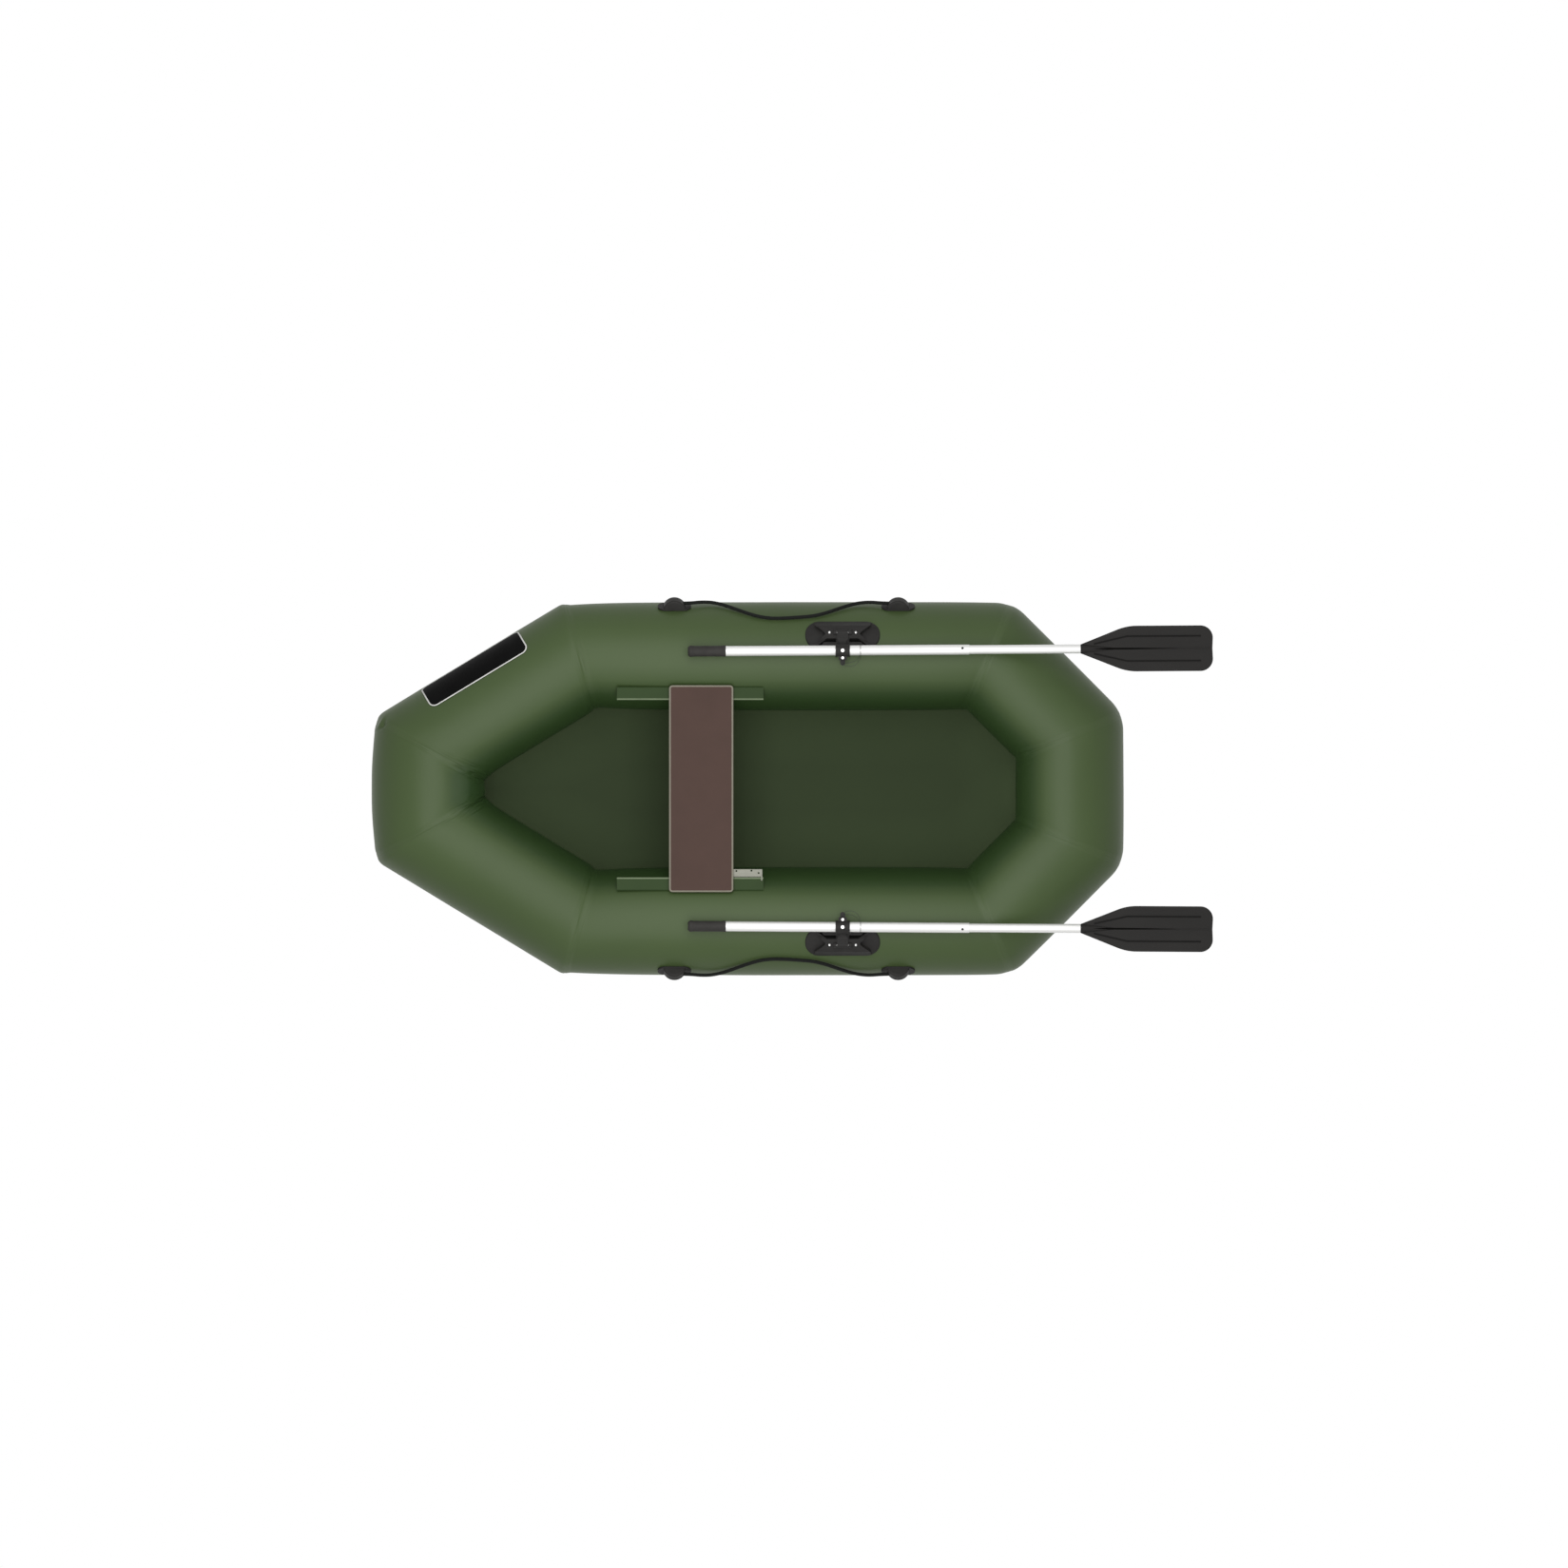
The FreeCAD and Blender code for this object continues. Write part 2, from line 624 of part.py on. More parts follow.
HINGE = ("hinge_y", "hinge_z", "0; 90; 0")
pin_length = "knuckle_width + 2 * lug_width"
pin_start = f"lock_x - ({pin_length}) / 2"
lugs = cylinder("housing_lugs", "knuckle_dia / 2", pin_length, pin_start, *HINGE)
housing = fuse("housing_lugged", housing, lugs)
seat_cut = side_bar("housing_seat", "housing_r", "lock_x - pad_length", "2 * pad_length")
housing = cut("housing_seated", housing, seat_cut)
slot_width = "knuckle_width + 2 * slot_gap"
slot_bar = cylinder("housing_slot_bar", "knuckle_dia / 2 + slot_gap", slot_width,
                    f"lock_x - ({slot_width}) / 2", *HINGE)
slot_top = block("housing_slot_top", slot_width, "arm_reach + knuckle_dia / 2 + slot_gap", "2 * overrun",
                 f"lock_x - ({slot_width}) / 2", "hinge_y - arm_reach", "hinge_z + arm_under - fit_gap")
pin_bore = cylinder("housing_pin_bore", "hinge_pin_dia / 2", pin_length, pin_start, *HINGE)
cutters = [slot_bar, slot_top, pin_bore]
skin_bar = side_bar("housing_skin_bar", "housing_r + housing_skin", "lock_x - pad_length", "2 * pad_length")
for side, hand in (("fore", "1"), ("aft", "-1")):
    cutters.append(cylinder(f"housing_sink_{side}", "housing_screw_dia / 2", "overrun",
                            f"lock_x + {hand} * housing_screw_pitch / 2",
                            "hinge_y + (housing_top - housing_screw_sink - hinge_lift) * sin(lock_angle)",
                            "hinge_z + (housing_top - housing_screw_sink - hinge_lift) * cos(lock_angle)",
                            "vector(1; 0; 0); -lock_angle"))
    recess = body_at(f"housing_recess_{side}", *LOCK)
    pad(outline(sketch_on(recess, "XY", "-overrun"), on_pad(HOUSING_RECESS_SHARES, hand)),
        "hinge_lift + 2 * overrun")
    cutters.append(cut(f"housing_recess_tool_{side}", recess, skin_bar))
housing = cut("housing_port", housing, fuse("housing_cutters", *cutters))
node(housing, "lock_housing_port")
mirrored(housing, "lock_housing_starboard")

hinge_pin = node(cylinder("hinge_pin", "hinge_pin_dia / 2", pin_length, pin_start, *HINGE), "lock_pin_port")
mirrored(hinge_pin, "lock_pin_starboard")


# Lock arm: a knuckle on the hinge pin, a neck and a flat eye for the swivel bolt.

arm = body_at("lock_arm", "lock_x", "hinge_y", "hinge_z")
pad(outline(sketch_on(arm, "XY", "arm_under"), [
    ("-knuckle_width / 2", "0"), ("knuckle_width / 2", "0"),
    ("knuckle_width / 2", "-knuckle_dia"), ("arm_neck / 2", "-knuckle_dia - arm_taper"),
    ("arm_neck / 2", "-arm_reach"), ("-arm_neck / 2", "-arm_reach"),
    ("-arm_neck / 2", "-knuckle_dia - arm_taper"), ("-knuckle_width / 2", "-knuckle_dia")]), "arm_thick")
pad(ring(sketch_on(arm, "XY", "arm_under"), "0", "-arm_reach", "arm_eye_dia / 2"), "arm_thick")
pad(ring(sketch_on(arm, "YZ"), "0", "0", "knuckle_dia / 2"), "knuckle_width", midplane=True)
pocket(ring(sketch_on(arm, "XY", "arm_top"), "0", "-arm_reach", "swivel_dia / 2 + pin_fit"))
pocket(ring(sketch_on(arm, "YZ"), "0", "0", "hinge_pin_dia / 2 + pin_fit"), "2 * knuckle_width",
       midplane=True)
# Where the grooves across the knuckle are, as shares of its diameter inboard of the pin.
ARM_GROOVE_SHARES = [0.2, 0.5, 0.8]
grooves = sketch_on(arm, "XY", "arm_top")
for share in ARM_GROOVE_SHARES:
    outboard = f"arm_groove / 2 - {share} * knuckle_dia"
    inboard = f"-arm_groove / 2 - {share} * knuckle_dia"
    outline(grooves, [("-knuckle_width", inboard), ("knuckle_width", inboard),
                      ("knuckle_width", outboard), ("-knuckle_width", outboard)])
pocket(grooves, "arm_groove_deep")
node(arm, "lock_arm_port")
mirrored(arm, "lock_arm_starboard")


# Oar: every piece lies along the oar's own line, which passes over the swivel bolt.

OAR_TURN = "vector(0; 0; 1); -oar_toe"


def on_oar(name):
    return body_at(name, "lock_x", "swivel_y", "oar_z", OAR_TURN)


def turned(name, corners):
    """A piece turned about the oar's line: its half section, with places along it and radii."""
    body = on_oar(name)
    revolve(outline(sketch_on(body, "XZ"), corners))
    return body


def bolt_bore(body, top="collar_dia"):
    """A bore for the swivel bolt down through a piece of the oar."""
    pocket(ring(sketch_on(body, "XY", top), "0", "0", "swivel_dia / 2 + pin_fit"))
    return body


shaft_bore = "fore_dia / 2 + pin_fit"
collar_end = "collar_length / 2"
waist_end = "collar_length / 2 - collar_band"
collar = turned("collar", [
    (f"-{collar_end}", shaft_bore), (collar_end, shaft_bore), (collar_end, "collar_dia / 2"),
    (waist_end, "collar_dia / 2"), (waist_end, "collar_waist / 2"),
    (f"-({waist_end})", "collar_waist / 2"), (f"-({waist_end})", "collar_dia / 2"),
    (f"-{collar_end}", "collar_dia / 2")])
pad(ring(sketch_on(collar, "XY", "-collar_dia / 2"), "0", "0", "collar_boss_dia / 2"), "collar_boss_thick")
lug_side = "clamp_lug_width / 2"
lug_root = "-(collar_waist + fore_dia) / 4"
pad(outline(sketch_on(collar, "XY"), [
    (f"-{lug_side}", "-clamp_lug_reach"), (lug_side, "-clamp_lug_reach"),
    (lug_side, lug_root), (f"-{lug_side}", lug_root)]), "clamp_lug_thick", midplane=True)
tab_side = "clamp_tab_width / 2"
tab_end = "clamp_tab_width / 2 - clamp_tab_reach"
tab_low = "-clamp_slot / 2 - clamp_tab_thick"
pad(outline(sketch_on(collar, "XY", tab_low), [
    (f"-{tab_side}", tab_end), (tab_side, tab_end),
    (tab_side, "-clamp_screw_reach"), (f"-{tab_side}", "-clamp_screw_reach")]), "clamp_tab_thick")
pad(ring(sketch_on(collar, "XY", tab_low), "0", tab_end, tab_side), "clamp_tab_thick")
pocket(ring(sketch_on(collar, "XY", "collar_dia"), "0", tab_end, "wire_hole_dia / 2"))
clamp_bore = ring(sketch_on(collar, "XY", "collar_dia"), "0", "-clamp_screw_reach",
                  "clamp_screw_dia / 2 + pin_fit")
pocket(clamp_bore)
split_end = "collar_length / 2 + overrun"
split = outline(sketch_on(collar, "XY", "clamp_slot / 2"), [
    (f"-({split_end})", "-clamp_lug_reach - overrun"), (split_end, "-clamp_lug_reach - overrun"),
    (split_end, "-fore_dia / 4"), (f"-({split_end})", "-fore_dia / 4")])
pocket(split, "clamp_slot")
node(bolt_bore(collar), "collar_port")
mirrored(collar, "collar_starboard")

bolt = on_oar("swivel_bolt")
bolt_low = "-(collar_dia / 2 + 2 * fit_gap + arm_thick + swivel_nut_thick)"
pad(ring(sketch_on(bolt, "XY", bolt_low), "0", "0", "swivel_dia / 2"),
    f"collar_waist / 2 + fit_gap - ({bolt_low})")
pad(ring(sketch_on(bolt, "XY", bolt_low), "0", "0", "swivel_head_dia / 2"), "swivel_nut_thick")
pad(ring(sketch_on(bolt, "XY", "collar_waist / 2 + fit_gap"), "0", "0", "swivel_head_dia / 2"),
    "swivel_head_thick")
node(bolt, "swivel_bolt_port")
mirrored(bolt, "swivel_bolt_starboard")

screw = body_at("clamp_screw_body", "lock_x - clamp_screw_reach * sin(oar_toe)",
                "swivel_y - clamp_screw_reach * cos(oar_toe)", "oar_z", OAR_TURN)
screw_low = "-clamp_lug_thick / 2 - fit_gap - clamp_head_thick"
screw_high = "clamp_lug_thick / 2 + fit_gap"
pad(ring(sketch_on(screw, "XY", screw_low), "0", "0", "clamp_screw_dia / 2"), f"{screw_high} - ({screw_low})")
pad(ring(sketch_on(screw, "XY", screw_low), "0", "0", "clamp_head_dia / 2"), "clamp_head_thick")
pad(ring(sketch_on(screw, "XY", screw_high), "0", "0", "clamp_head_dia / 2"), "clamp_head_thick")
node(screw, "clamp_screw_port")
mirrored(screw, "clamp_screw_starboard")

fore_end = "grip_end - grip_cap - fit_gap"
fore = turned("shaft_fore", [
    ("-fore_aft_end", "fore_dia / 2 - fore_wall"), (fore_end, "fore_dia / 2 - fore_wall"),
    (fore_end, "fore_dia / 2"), ("-fore_aft_end", "fore_dia / 2")])
node(bolt_bore(fore), "shaft_fore_port")
mirrored(fore, "shaft_fore_starboard")

aft_start = "sleeve_overlap - fore_aft_end"
aft = turned("shaft_aft", [
    ("-blade_start", "aft_dia / 2 - aft_wall"), (aft_start, "aft_dia / 2 - aft_wall"),
    (aft_start, "aft_dia / 2"), ("-blade_start", "aft_dia / 2")])
node(aft, "shaft_aft_port")
mirrored(aft, "shaft_aft_starboard")

grip_start = "grip_end - grip_length"
grip = turned("grip", [
    (grip_start, shaft_bore), (f"{fore_end} + fit_gap", shaft_bore), (f"{fore_end} + fit_gap", "0"),
    ("grip_end", "0"), ("grip_end", "grip_dia / 2 - grip_round"), ("grip_end - grip_round", "grip_dia / 2"),
    ("grip_end - grip_cap", "grip_dia / 2"), ("grip_end - grip_cap - grip_round", "grip_waist / 2"),
    (f"{grip_start} + grip_cap", "grip_waist / 2"), (f"{grip_start} + grip_round", "grip_dia / 2"),
    (grip_start, "grip_dia / 2")])
node(grip, "grip_port")
mirrored(grip, "grip_starboard")


# Blade: a flared plate with a ridge down its middle and a bent rib on each side, on both faces.

def flipped(corners):
    """The outline that mirrors a run of corners over the oar's line; its last corner is on that line."""
    return corners + [(along, f"-({across})") for along, across in reversed(corners[:-1])]


blade = on_oar("blade")
blade_end = "-blade_start - blade_length"
neck = "aft_dia / 2"
pad(outline(sketch_on(blade, "XY"), flipped([
    ("-blade_start", neck), ("-blade_start - blade_flare", "blade_width / 2"),
    (blade_end, "blade_width / 2"), (f"{blade_end} + blade_hollow", "0")])), "blade_thick", midplane=True)
tip_x = size(blade_end)
flare_x = size("-blade_start - blade_flare")


def at_x(x):
    return lambda edge: upright(edge) and abs(edge.Vertexes[0].Point.x - x) < 1e-3


def blade_rim(edge):
    """True for an edge of the plate's upper or lower face."""
    return all(abs(abs(vertex.Point.z) - size("blade_thick / 2")) < 1e-6 for vertex in edge.Vertexes)


soften(blade, "Fillet", "blade_tip_round", at_x(tip_x))
soften(blade, "Fillet", "blade_shoulder", at_x(flare_x))
soften(blade, "Chamfer", "blade_edge", blade_rim)
spine_end = "-blade_start - spine_run"
ridge_end = f"{blade_end} + spine_stop"
ridge = sketch_on(blade, "XZ")
outline(ridge, [
    ("spigot_length - blade_start", "0"), ("spigot_length - blade_start", "aft_dia / 2 - aft_wall - pin_fit"),
    ("-blade_start", "aft_dia / 2 - aft_wall - pin_fit"), ("-blade_start", neck),
    (spine_end, "spine_tip_dia / 2"), (ridge_end, "spine_tip_dia / 2"), (ridge_end, "0")])
revolve(ridge)
rib_far = f"{blade_end} + rib_stop"
for hand in ("1", "-1"):
    near = [("-blade_start - rib_start", "rib_start_spread"), ("-blade_start - rib_bend", "rib_spread"),
            (rib_far, "rib_spread")]
    far = [(along, f"{across} + rib_width") for along, across in reversed(near)]
    bar = outline(sketch_on(blade, "XY"), [(along, f"{hand} * ({across})") for along, across in near + far])
    pad(bar, "blade_thick + 2 * rib_proud", midplane=True)
groove = [("-blade_start - groove_start", "0"), ("-blade_start - groove_wide_start", "groove_width / 2"),
          ("-blade_start - groove_wide_end", "groove_width / 2"), ("-blade_start - groove_end", "0")]
groove = groove + [(along, "-groove_width / 2") for along, across in reversed(groove[1:3])]
for face, below in (("aft_dia", False), ("-aft_dia", True)):
    slit = pocket(outline(sketch_on(blade, "XY", face), groove), "aft_dia - groove_core / 2")
    slit.Reversed = below
node(blade, "blade_port")
mirrored(blade, "blade_starboard")


# Blank plate bonded round the outer side of the starboard bow tube.

mid_x = "(bow_x + shoulder_x) / 2 - tube_r * sin(bow_angle)"
mid_y = "tube_r * cos(bow_angle) - (nose_y + beam_y) / 2"
PLATE_AXIS = "rotation(vector(0; 0; 1); bow_angle) * rotation(vector(1; 0; 0); plate_angle)"
plate_plan = doc.addObject("PartDesign::Body", "plate_plan")
bind(plate_plan, Placement=f"placement(vector({mid_x}; {mid_y}; tube_r); {PLATE_AXIS})")
pad(rectangle(sketch_on(plate_plan, "XY", "tube_r - 3 * overrun"), "plate_length", "plate_width"),
    "4 * overrun")
soften(plate_plan, "Fillet", "plate_corner", upright)


def bow_bar(name, radius):
    """A bar on the starboard bow tube's own centre line."""
    return cylinder(name, radius, "2 * plate_length", f"({mid_x}) - plate_length * cos(bow_angle)",
                    f"({mid_y}) - plate_length * sin(bow_angle)", "tube_r", "bow_angle; 90; 0")


plate_shell = cut("plate_shell", bow_bar("plate_outer", "tube_r + fit_gap + plate_thick"),
                  bow_bar("plate_inner", "tube_r + fit_gap"))
node(common("blank_plate", plate_plan, plate_shell), "blank_plate")


# Air valves: a flange and a cap on the stern tube, each a turned piece.

VALVE_NOTCHES = 8
valve = body_at("valve_body", "tube_r - bow_x - tube_r * sin(valve_angle)", "valve_y",
                "tube_r + tube_r * cos(valve_angle)", "vector(0; 1; 0); -valve_angle")
pad(ring(sketch_on(valve, "XY", "-overrun"), "0", "0", "valve_dia / 2"), "overrun + valve_flange")
pad(ring(sketch_on(valve, "XY"), "0", "0", "valve_cap_dia / 2"), "valve_cap")
notches = sketch_on(valve, "XY", "valve_cap")
for index in range(VALVE_NOTCHES):
    turn = f"360 * {index} / {VALVE_NOTCHES}"
    ring(notches, f"valve_cap_dia / 2 * cos({turn})", f"valve_cap_dia / 2 * sin({turn})",
         "valve_notch_dia / 2")
pocket(notches, "valve_notch_deep")
stern_bar = cylinder("valve_seat", "flap_r", "stern_width", "tube_r - bow_x", "-stern_y", "tube_r",
                     "90; 90; 0")
valve = node(cut("valve_port", valve, stern_bar), "valve_port")
mirrored(valve, "valve_starboard")


# Grab ropes: a tube of straight runs joined by tangent arcs, lying on the side tube.

ROPE_RADIUS_SHARE = 0.45


def rope_path(points):
    """Straight runs with an arc at each inner point, as large as its two runs allow."""
    edges = []
    start = points[0]
    radii = []
    for before, point, after in zip(points, points[1:], points[2:]):
        back = (before - point).normalize()
        ahead = (after - point).normalize()
        turn = math.pi - back.getAngle(ahead)
        setback = ROPE_RADIUS_SHARE * min(before.distanceToPoint(point), after.distanceToPoint(point))
        radii.append(setback / math.tan(turn / 2))
        middle = (back + ahead).normalize() * (radii[-1] / math.cos(turn / 2) - radii[-1])
        edges.append(Part.LineSegment(start, point + back * setback).toShape())
        edges.append(Part.Arc(point + back * setback, point + middle, point + ahead * setback).toShape())
        start = point + ahead * setback
    edges.append(Part.LineSegment(start, points[-1]).toShape())
    return Part.Wire(edges), radii


# The port rope's route: places along the hull, angles round the side tube from its top, and
# heights of the rope's centre over the tube.
ROPE_ROUTE = [
    (181.2, 64, 12.0), (156, 64.25, 11.9), (128, 68.5, 10.0), (98, 69.5, 8.4), (68, 64, 7.4),
    (38, 56.5, 6.8), (7, 49.5, 6.6), (-26, 44, 6.5), (-60, 41.6, 6.4), (-97, 42, 6.2), (-135, 43.3, 6.2),
    (-171, 44.7, 6.4), (-204, 49, 6.6), (-235, 55.5, 6.8), (-265, 62.5, 7.4), (-295, 68, 8.4),
    (-325, 68.3, 10.0), (-355, 64.25, 11.9), (-381.2, 64, 12.0)]


def rope(label):
    middle = FreeCAD.Vector(0, size("side_y"), size("tube_r"))
    points = []
    for along, angle, lift in ROPE_ROUTE:
        arm_length = size("tube_r") + lift
        turn = math.radians(angle)
        spot = FreeCAD.Vector(along, arm_length * math.sin(turn), arm_length * math.cos(turn))
        points.append(middle + spot)
    path, radii = rope_path(points)
    radius = size("rope_dia / 2")
    section = Part.Wire(Part.makeCircle(radius, points[0], points[1] - points[0]))
    solid = path.makePipeShell([section], True, True)
    print(label, "radii", [round(value) for value in radii], "length", round(path.Length, 1),
          "volume share", round(solid.Volume / (math.pi * radius ** 2 * path.Length), 5))
    for spot in points:
        print("   ", tuple(round(value, 1) for value in spot))
    thing = doc.addObject("Part::Feature", label)
    thing.Shape = solid
    return node(thing, label)


mirrored(rope("rope_port"), "rope_starboard")

doc.recompute()

for thing in doc.Objects:
    for state in thing.State:
        if state in ("Invalid", "Error"):
            raise RuntimeError(f"{thing.Name} ({thing.Label}) is {state}")
volume = 0
for thing in nodes:
    shape = thing.Shape
    if shape.isNull() or not shape.isValid() or not shape.Solids:
        raise RuntimeError(f"{thing.Label} has no valid solid")
    volume += shape.Volume
    box = shape.BoundBox
    sides = (box.XMin, box.XMax, box.YMin, box.YMax, box.ZMin, box.ZMax)
    reach = " ".join(f"{value:8.1f}" for value in sides)
    print(f"{thing.Label:26s} solids {len(shape.Solids)} volume {shape.Volume:12.1f} box {reach}")
print("nodes", len(nodes), "solid volume in cubic metres", round(volume * 1e-9, 4))
for thing in nodes:
    thing.Shape.exportStep(f"parts/{thing.Label}.step")
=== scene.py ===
import math

import bmesh
import bpy
import numpy as np
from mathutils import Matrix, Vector, noise

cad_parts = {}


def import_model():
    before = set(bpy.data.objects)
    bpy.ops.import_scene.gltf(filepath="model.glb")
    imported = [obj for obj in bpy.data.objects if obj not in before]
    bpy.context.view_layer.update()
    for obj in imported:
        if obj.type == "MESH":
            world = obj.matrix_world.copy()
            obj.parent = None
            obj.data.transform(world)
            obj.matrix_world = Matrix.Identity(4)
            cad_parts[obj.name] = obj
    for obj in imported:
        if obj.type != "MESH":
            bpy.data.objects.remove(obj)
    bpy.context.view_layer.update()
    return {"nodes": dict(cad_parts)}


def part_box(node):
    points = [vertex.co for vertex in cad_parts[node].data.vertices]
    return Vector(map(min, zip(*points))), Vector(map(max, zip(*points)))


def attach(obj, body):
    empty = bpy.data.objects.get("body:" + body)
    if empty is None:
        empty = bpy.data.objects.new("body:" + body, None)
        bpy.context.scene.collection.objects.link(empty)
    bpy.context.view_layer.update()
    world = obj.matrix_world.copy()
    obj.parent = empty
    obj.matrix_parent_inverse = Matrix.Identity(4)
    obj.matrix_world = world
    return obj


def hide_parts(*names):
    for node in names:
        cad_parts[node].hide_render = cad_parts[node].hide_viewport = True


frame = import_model()
scene = bpy.context.scene
nodes = frame["nodes"]

# Hull sizes in metres, as in the CAD source.
BOW_X = 1.0
BEAM_Y = 0.498
TUBE_R = 0.145
NOSE_Y = 0.190
STERN_Y = 0.201
BOW_ANGLE = math.radians(31.2)
STERN_ANGLE = math.radians(45)
SHOULDER_X = BOW_X - (BEAM_Y - NOSE_Y) / math.tan(BOW_ANGLE)
QUARTER_X = (BEAM_Y - STERN_Y) / math.tan(STERN_ANGLE) - BOW_X
SIDE_Y = BEAM_Y - TUBE_R
LOCK_X = -0.250
SWIVEL = Vector((LOCK_X, 0.368134, 0.322927))
OAR_TOE = math.radians(0.35)
BOW_SIN, BOW_COS = math.sin(BOW_ANGLE), math.cos(BOW_ANGLE)
STERN_SIN, STERN_COS = math.sin(STERN_ANGLE), math.cos(STERN_ANGLE)
SIDES = (("port", 1), ("starboard", -1))


# Materials

# The colour sockets of a mix node, which share their names with its other kinds.
MIX_FIRST, MIX_SECOND, MIX_RESULT = 6, 7, 2


class Nodes:
    """A material's node tree, with short calls for the few nodes used here."""

    def __init__(self, name):
        self.material = bpy.data.materials.new(name)
        self.material.use_nodes = True
        self.tree = self.material.node_tree
        self.shader = self.tree.nodes["Principled BSDF"]
        self.place = self.add("ShaderNodeTexCoord").outputs["Object"]

    def add(self, kind, **values):
        made = self.tree.nodes.new(kind)
        for key, value in values.items():
            setattr(made, key, value)
        return made

    def link(self, source, target):
        self.tree.links.new(source, target)

    def scaled(self, scale):
        made = self.add("ShaderNodeMapping")
        made.inputs["Scale"].default_value = scale
        self.link(self.place, made.inputs["Vector"])
        return made.outputs["Vector"]

    def noise(self, scale, detail=3.0, rough=0.5, stretch=(1, 1, 1)):
        made = self.add("ShaderNodeTexNoise")
        made.inputs["Scale"].default_value = scale
        made.inputs["Detail"].default_value = detail
        made.inputs["Roughness"].default_value = rough
        self.link(self.scaled(stretch), made.inputs["Vector"])
        return made.outputs["Fac"]

    def ramp(self, factor, stops):
        made = self.add("ShaderNodeValToRGB")
        elements = made.color_ramp.elements
        while len(elements) < len(stops):
            elements.new(0.5)
        for element, (place, colour) in zip(elements, stops):
            element.position = place
            element.color = (*colour, 1)
        self.link(factor, made.inputs["Fac"])
        return made.outputs["Color"]

    def spread(self, factor, low, high, start=0.3, end=0.7):
        """Carries a factor that runs from start to end over to the values from low to high."""
        made = self.add("ShaderNodeMapRange")
        made.inputs["From Min"].default_value = start
        made.inputs["From Max"].default_value = end
        made.inputs["To Min"].default_value = low
        made.inputs["To Max"].default_value = high
        self.link(factor, made.inputs["Value"])
        return made.outputs["Result"]

    def bump(self, height, distance):
        made = self.add("ShaderNodeBump")
        made.inputs["Distance"].default_value = distance
        self.link(height, made.inputs["Height"])
        self.link(made.outputs["Normal"], self.shader.inputs["Normal"])

    def mix(self, factor, first, second, **values):
        """Blends two colours by a socket or a plain number."""
        made = self.add("ShaderNodeMix", data_type="RGBA", **values)
        if isinstance(factor, float):
            made.inputs["Factor"].default_value = factor
        else:
            self.link(factor, made.inputs["Factor"])
        self.link(first, made.inputs[MIX_FIRST])
        self.link(second, made.inputs[MIX_SECOND])
        return made.outputs[MIX_RESULT]

    def maths(self, operation, first, *rest):
        """A maths node over sockets and plain numbers."""
        made = self.add("ShaderNodeMath", operation=operation)
        for socket, value in zip(made.inputs, (first, *rest)):
            if isinstance(value, float):
                socket.default_value = value
            else:
                self.link(value, socket)
        return made.outputs[0]

    def vector(self, operation, source, value):
        made = self.add("ShaderNodeVectorMath", operation=operation)
        self.link(source, made.inputs[0])
        made.inputs[1].default_value = value
        return made.outputs["Vector"]


def surface(name, colour, rough, metal=0.0, vary=0.12, vary_scale=6.0, grain=900.0, grain_depth=0.00004,
            specular=0.5, stretch=(1, 1, 1), rough_vary=0.06):
    """A plain material: its colour drifts a little, and a fine grain roughens it."""
    made = Nodes(name)
    low = tuple(c * (1 - vary) for c in colour)
    high = tuple(min(1.0, c * (1 + vary)) for c in colour)
    drift = made.noise(vary_scale, detail=4.0, rough=0.55, stretch=stretch)
    made.link(made.ramp(drift, [(0.3, low), (0.7, high)]), made.shader.inputs["Base Color"])
    fine = made.noise(grain, detail=2.0, stretch=stretch)
    made.link(made.spread(fine, rough - rough_vary, rough + rough_vary), made.shader.inputs["Roughness"])
    made.shader.inputs["Metallic"].default_value = metal
    made.shader.inputs["Specular IOR Level"].default_value = specular
    made.bump(fine, grain_depth)
    return made.material


# The plan's sides on the port half: each outward normal, and how far out that side lies. The nose is
# short and steep inside, so its side counts for more in the painted shade.
NOSE_WEIGHT = 1.13
PLAN_SIDES = [
    ((NOSE_WEIGHT, 0), NOSE_WEIGHT * BOW_X),
    ((BOW_SIN, BOW_COS), BOW_X * BOW_SIN + NOSE_Y * BOW_COS),
    ((0, 1), BEAM_Y),
    ((-STERN_SIN, STERN_COS), BOW_X * STERN_SIN + STERN_Y * STERN_COS),
    ((-1, 0), BOW_X)]
# Where two sides meet, the distance in from the outline is rounded off over this length.
PLAN_ROUNDING = 0.02
# How the tone falls off inward: painted shade over the inner half of a tube, and painted light over
# the rim of the floor, which stays lighter than the floor's middle.
INNER_START, INNER_END = 1.15 * TUBE_R, 2 * TUBE_R
INNER_PAINTED_SHADE = [(0.0, (1, 1, 1)), (0.33, (0.91, 0.93, 0.89)), (0.47, (0.67, 0.74, 0.60)),
               (0.62, (0.44, 0.56, 0.42)), (1.0, (0.33, 0.48, 0.36))]
FLOOR_RIM = 0.15
FLOOR_RIM_PAINTED_LIGHT = [(0.0, (1, 1, 1)), (0.3, (0.83, 0.83, 0.83)), (1.0, (0.66, 0.66, 0.66))]
FABRIC_DRIFT = 0.05
FABRIC_GRAIN = 1400.0
FABRIC_GRAIN_DEPTH = 0.00004
FABRIC_ROUGH_VARY = 0.06


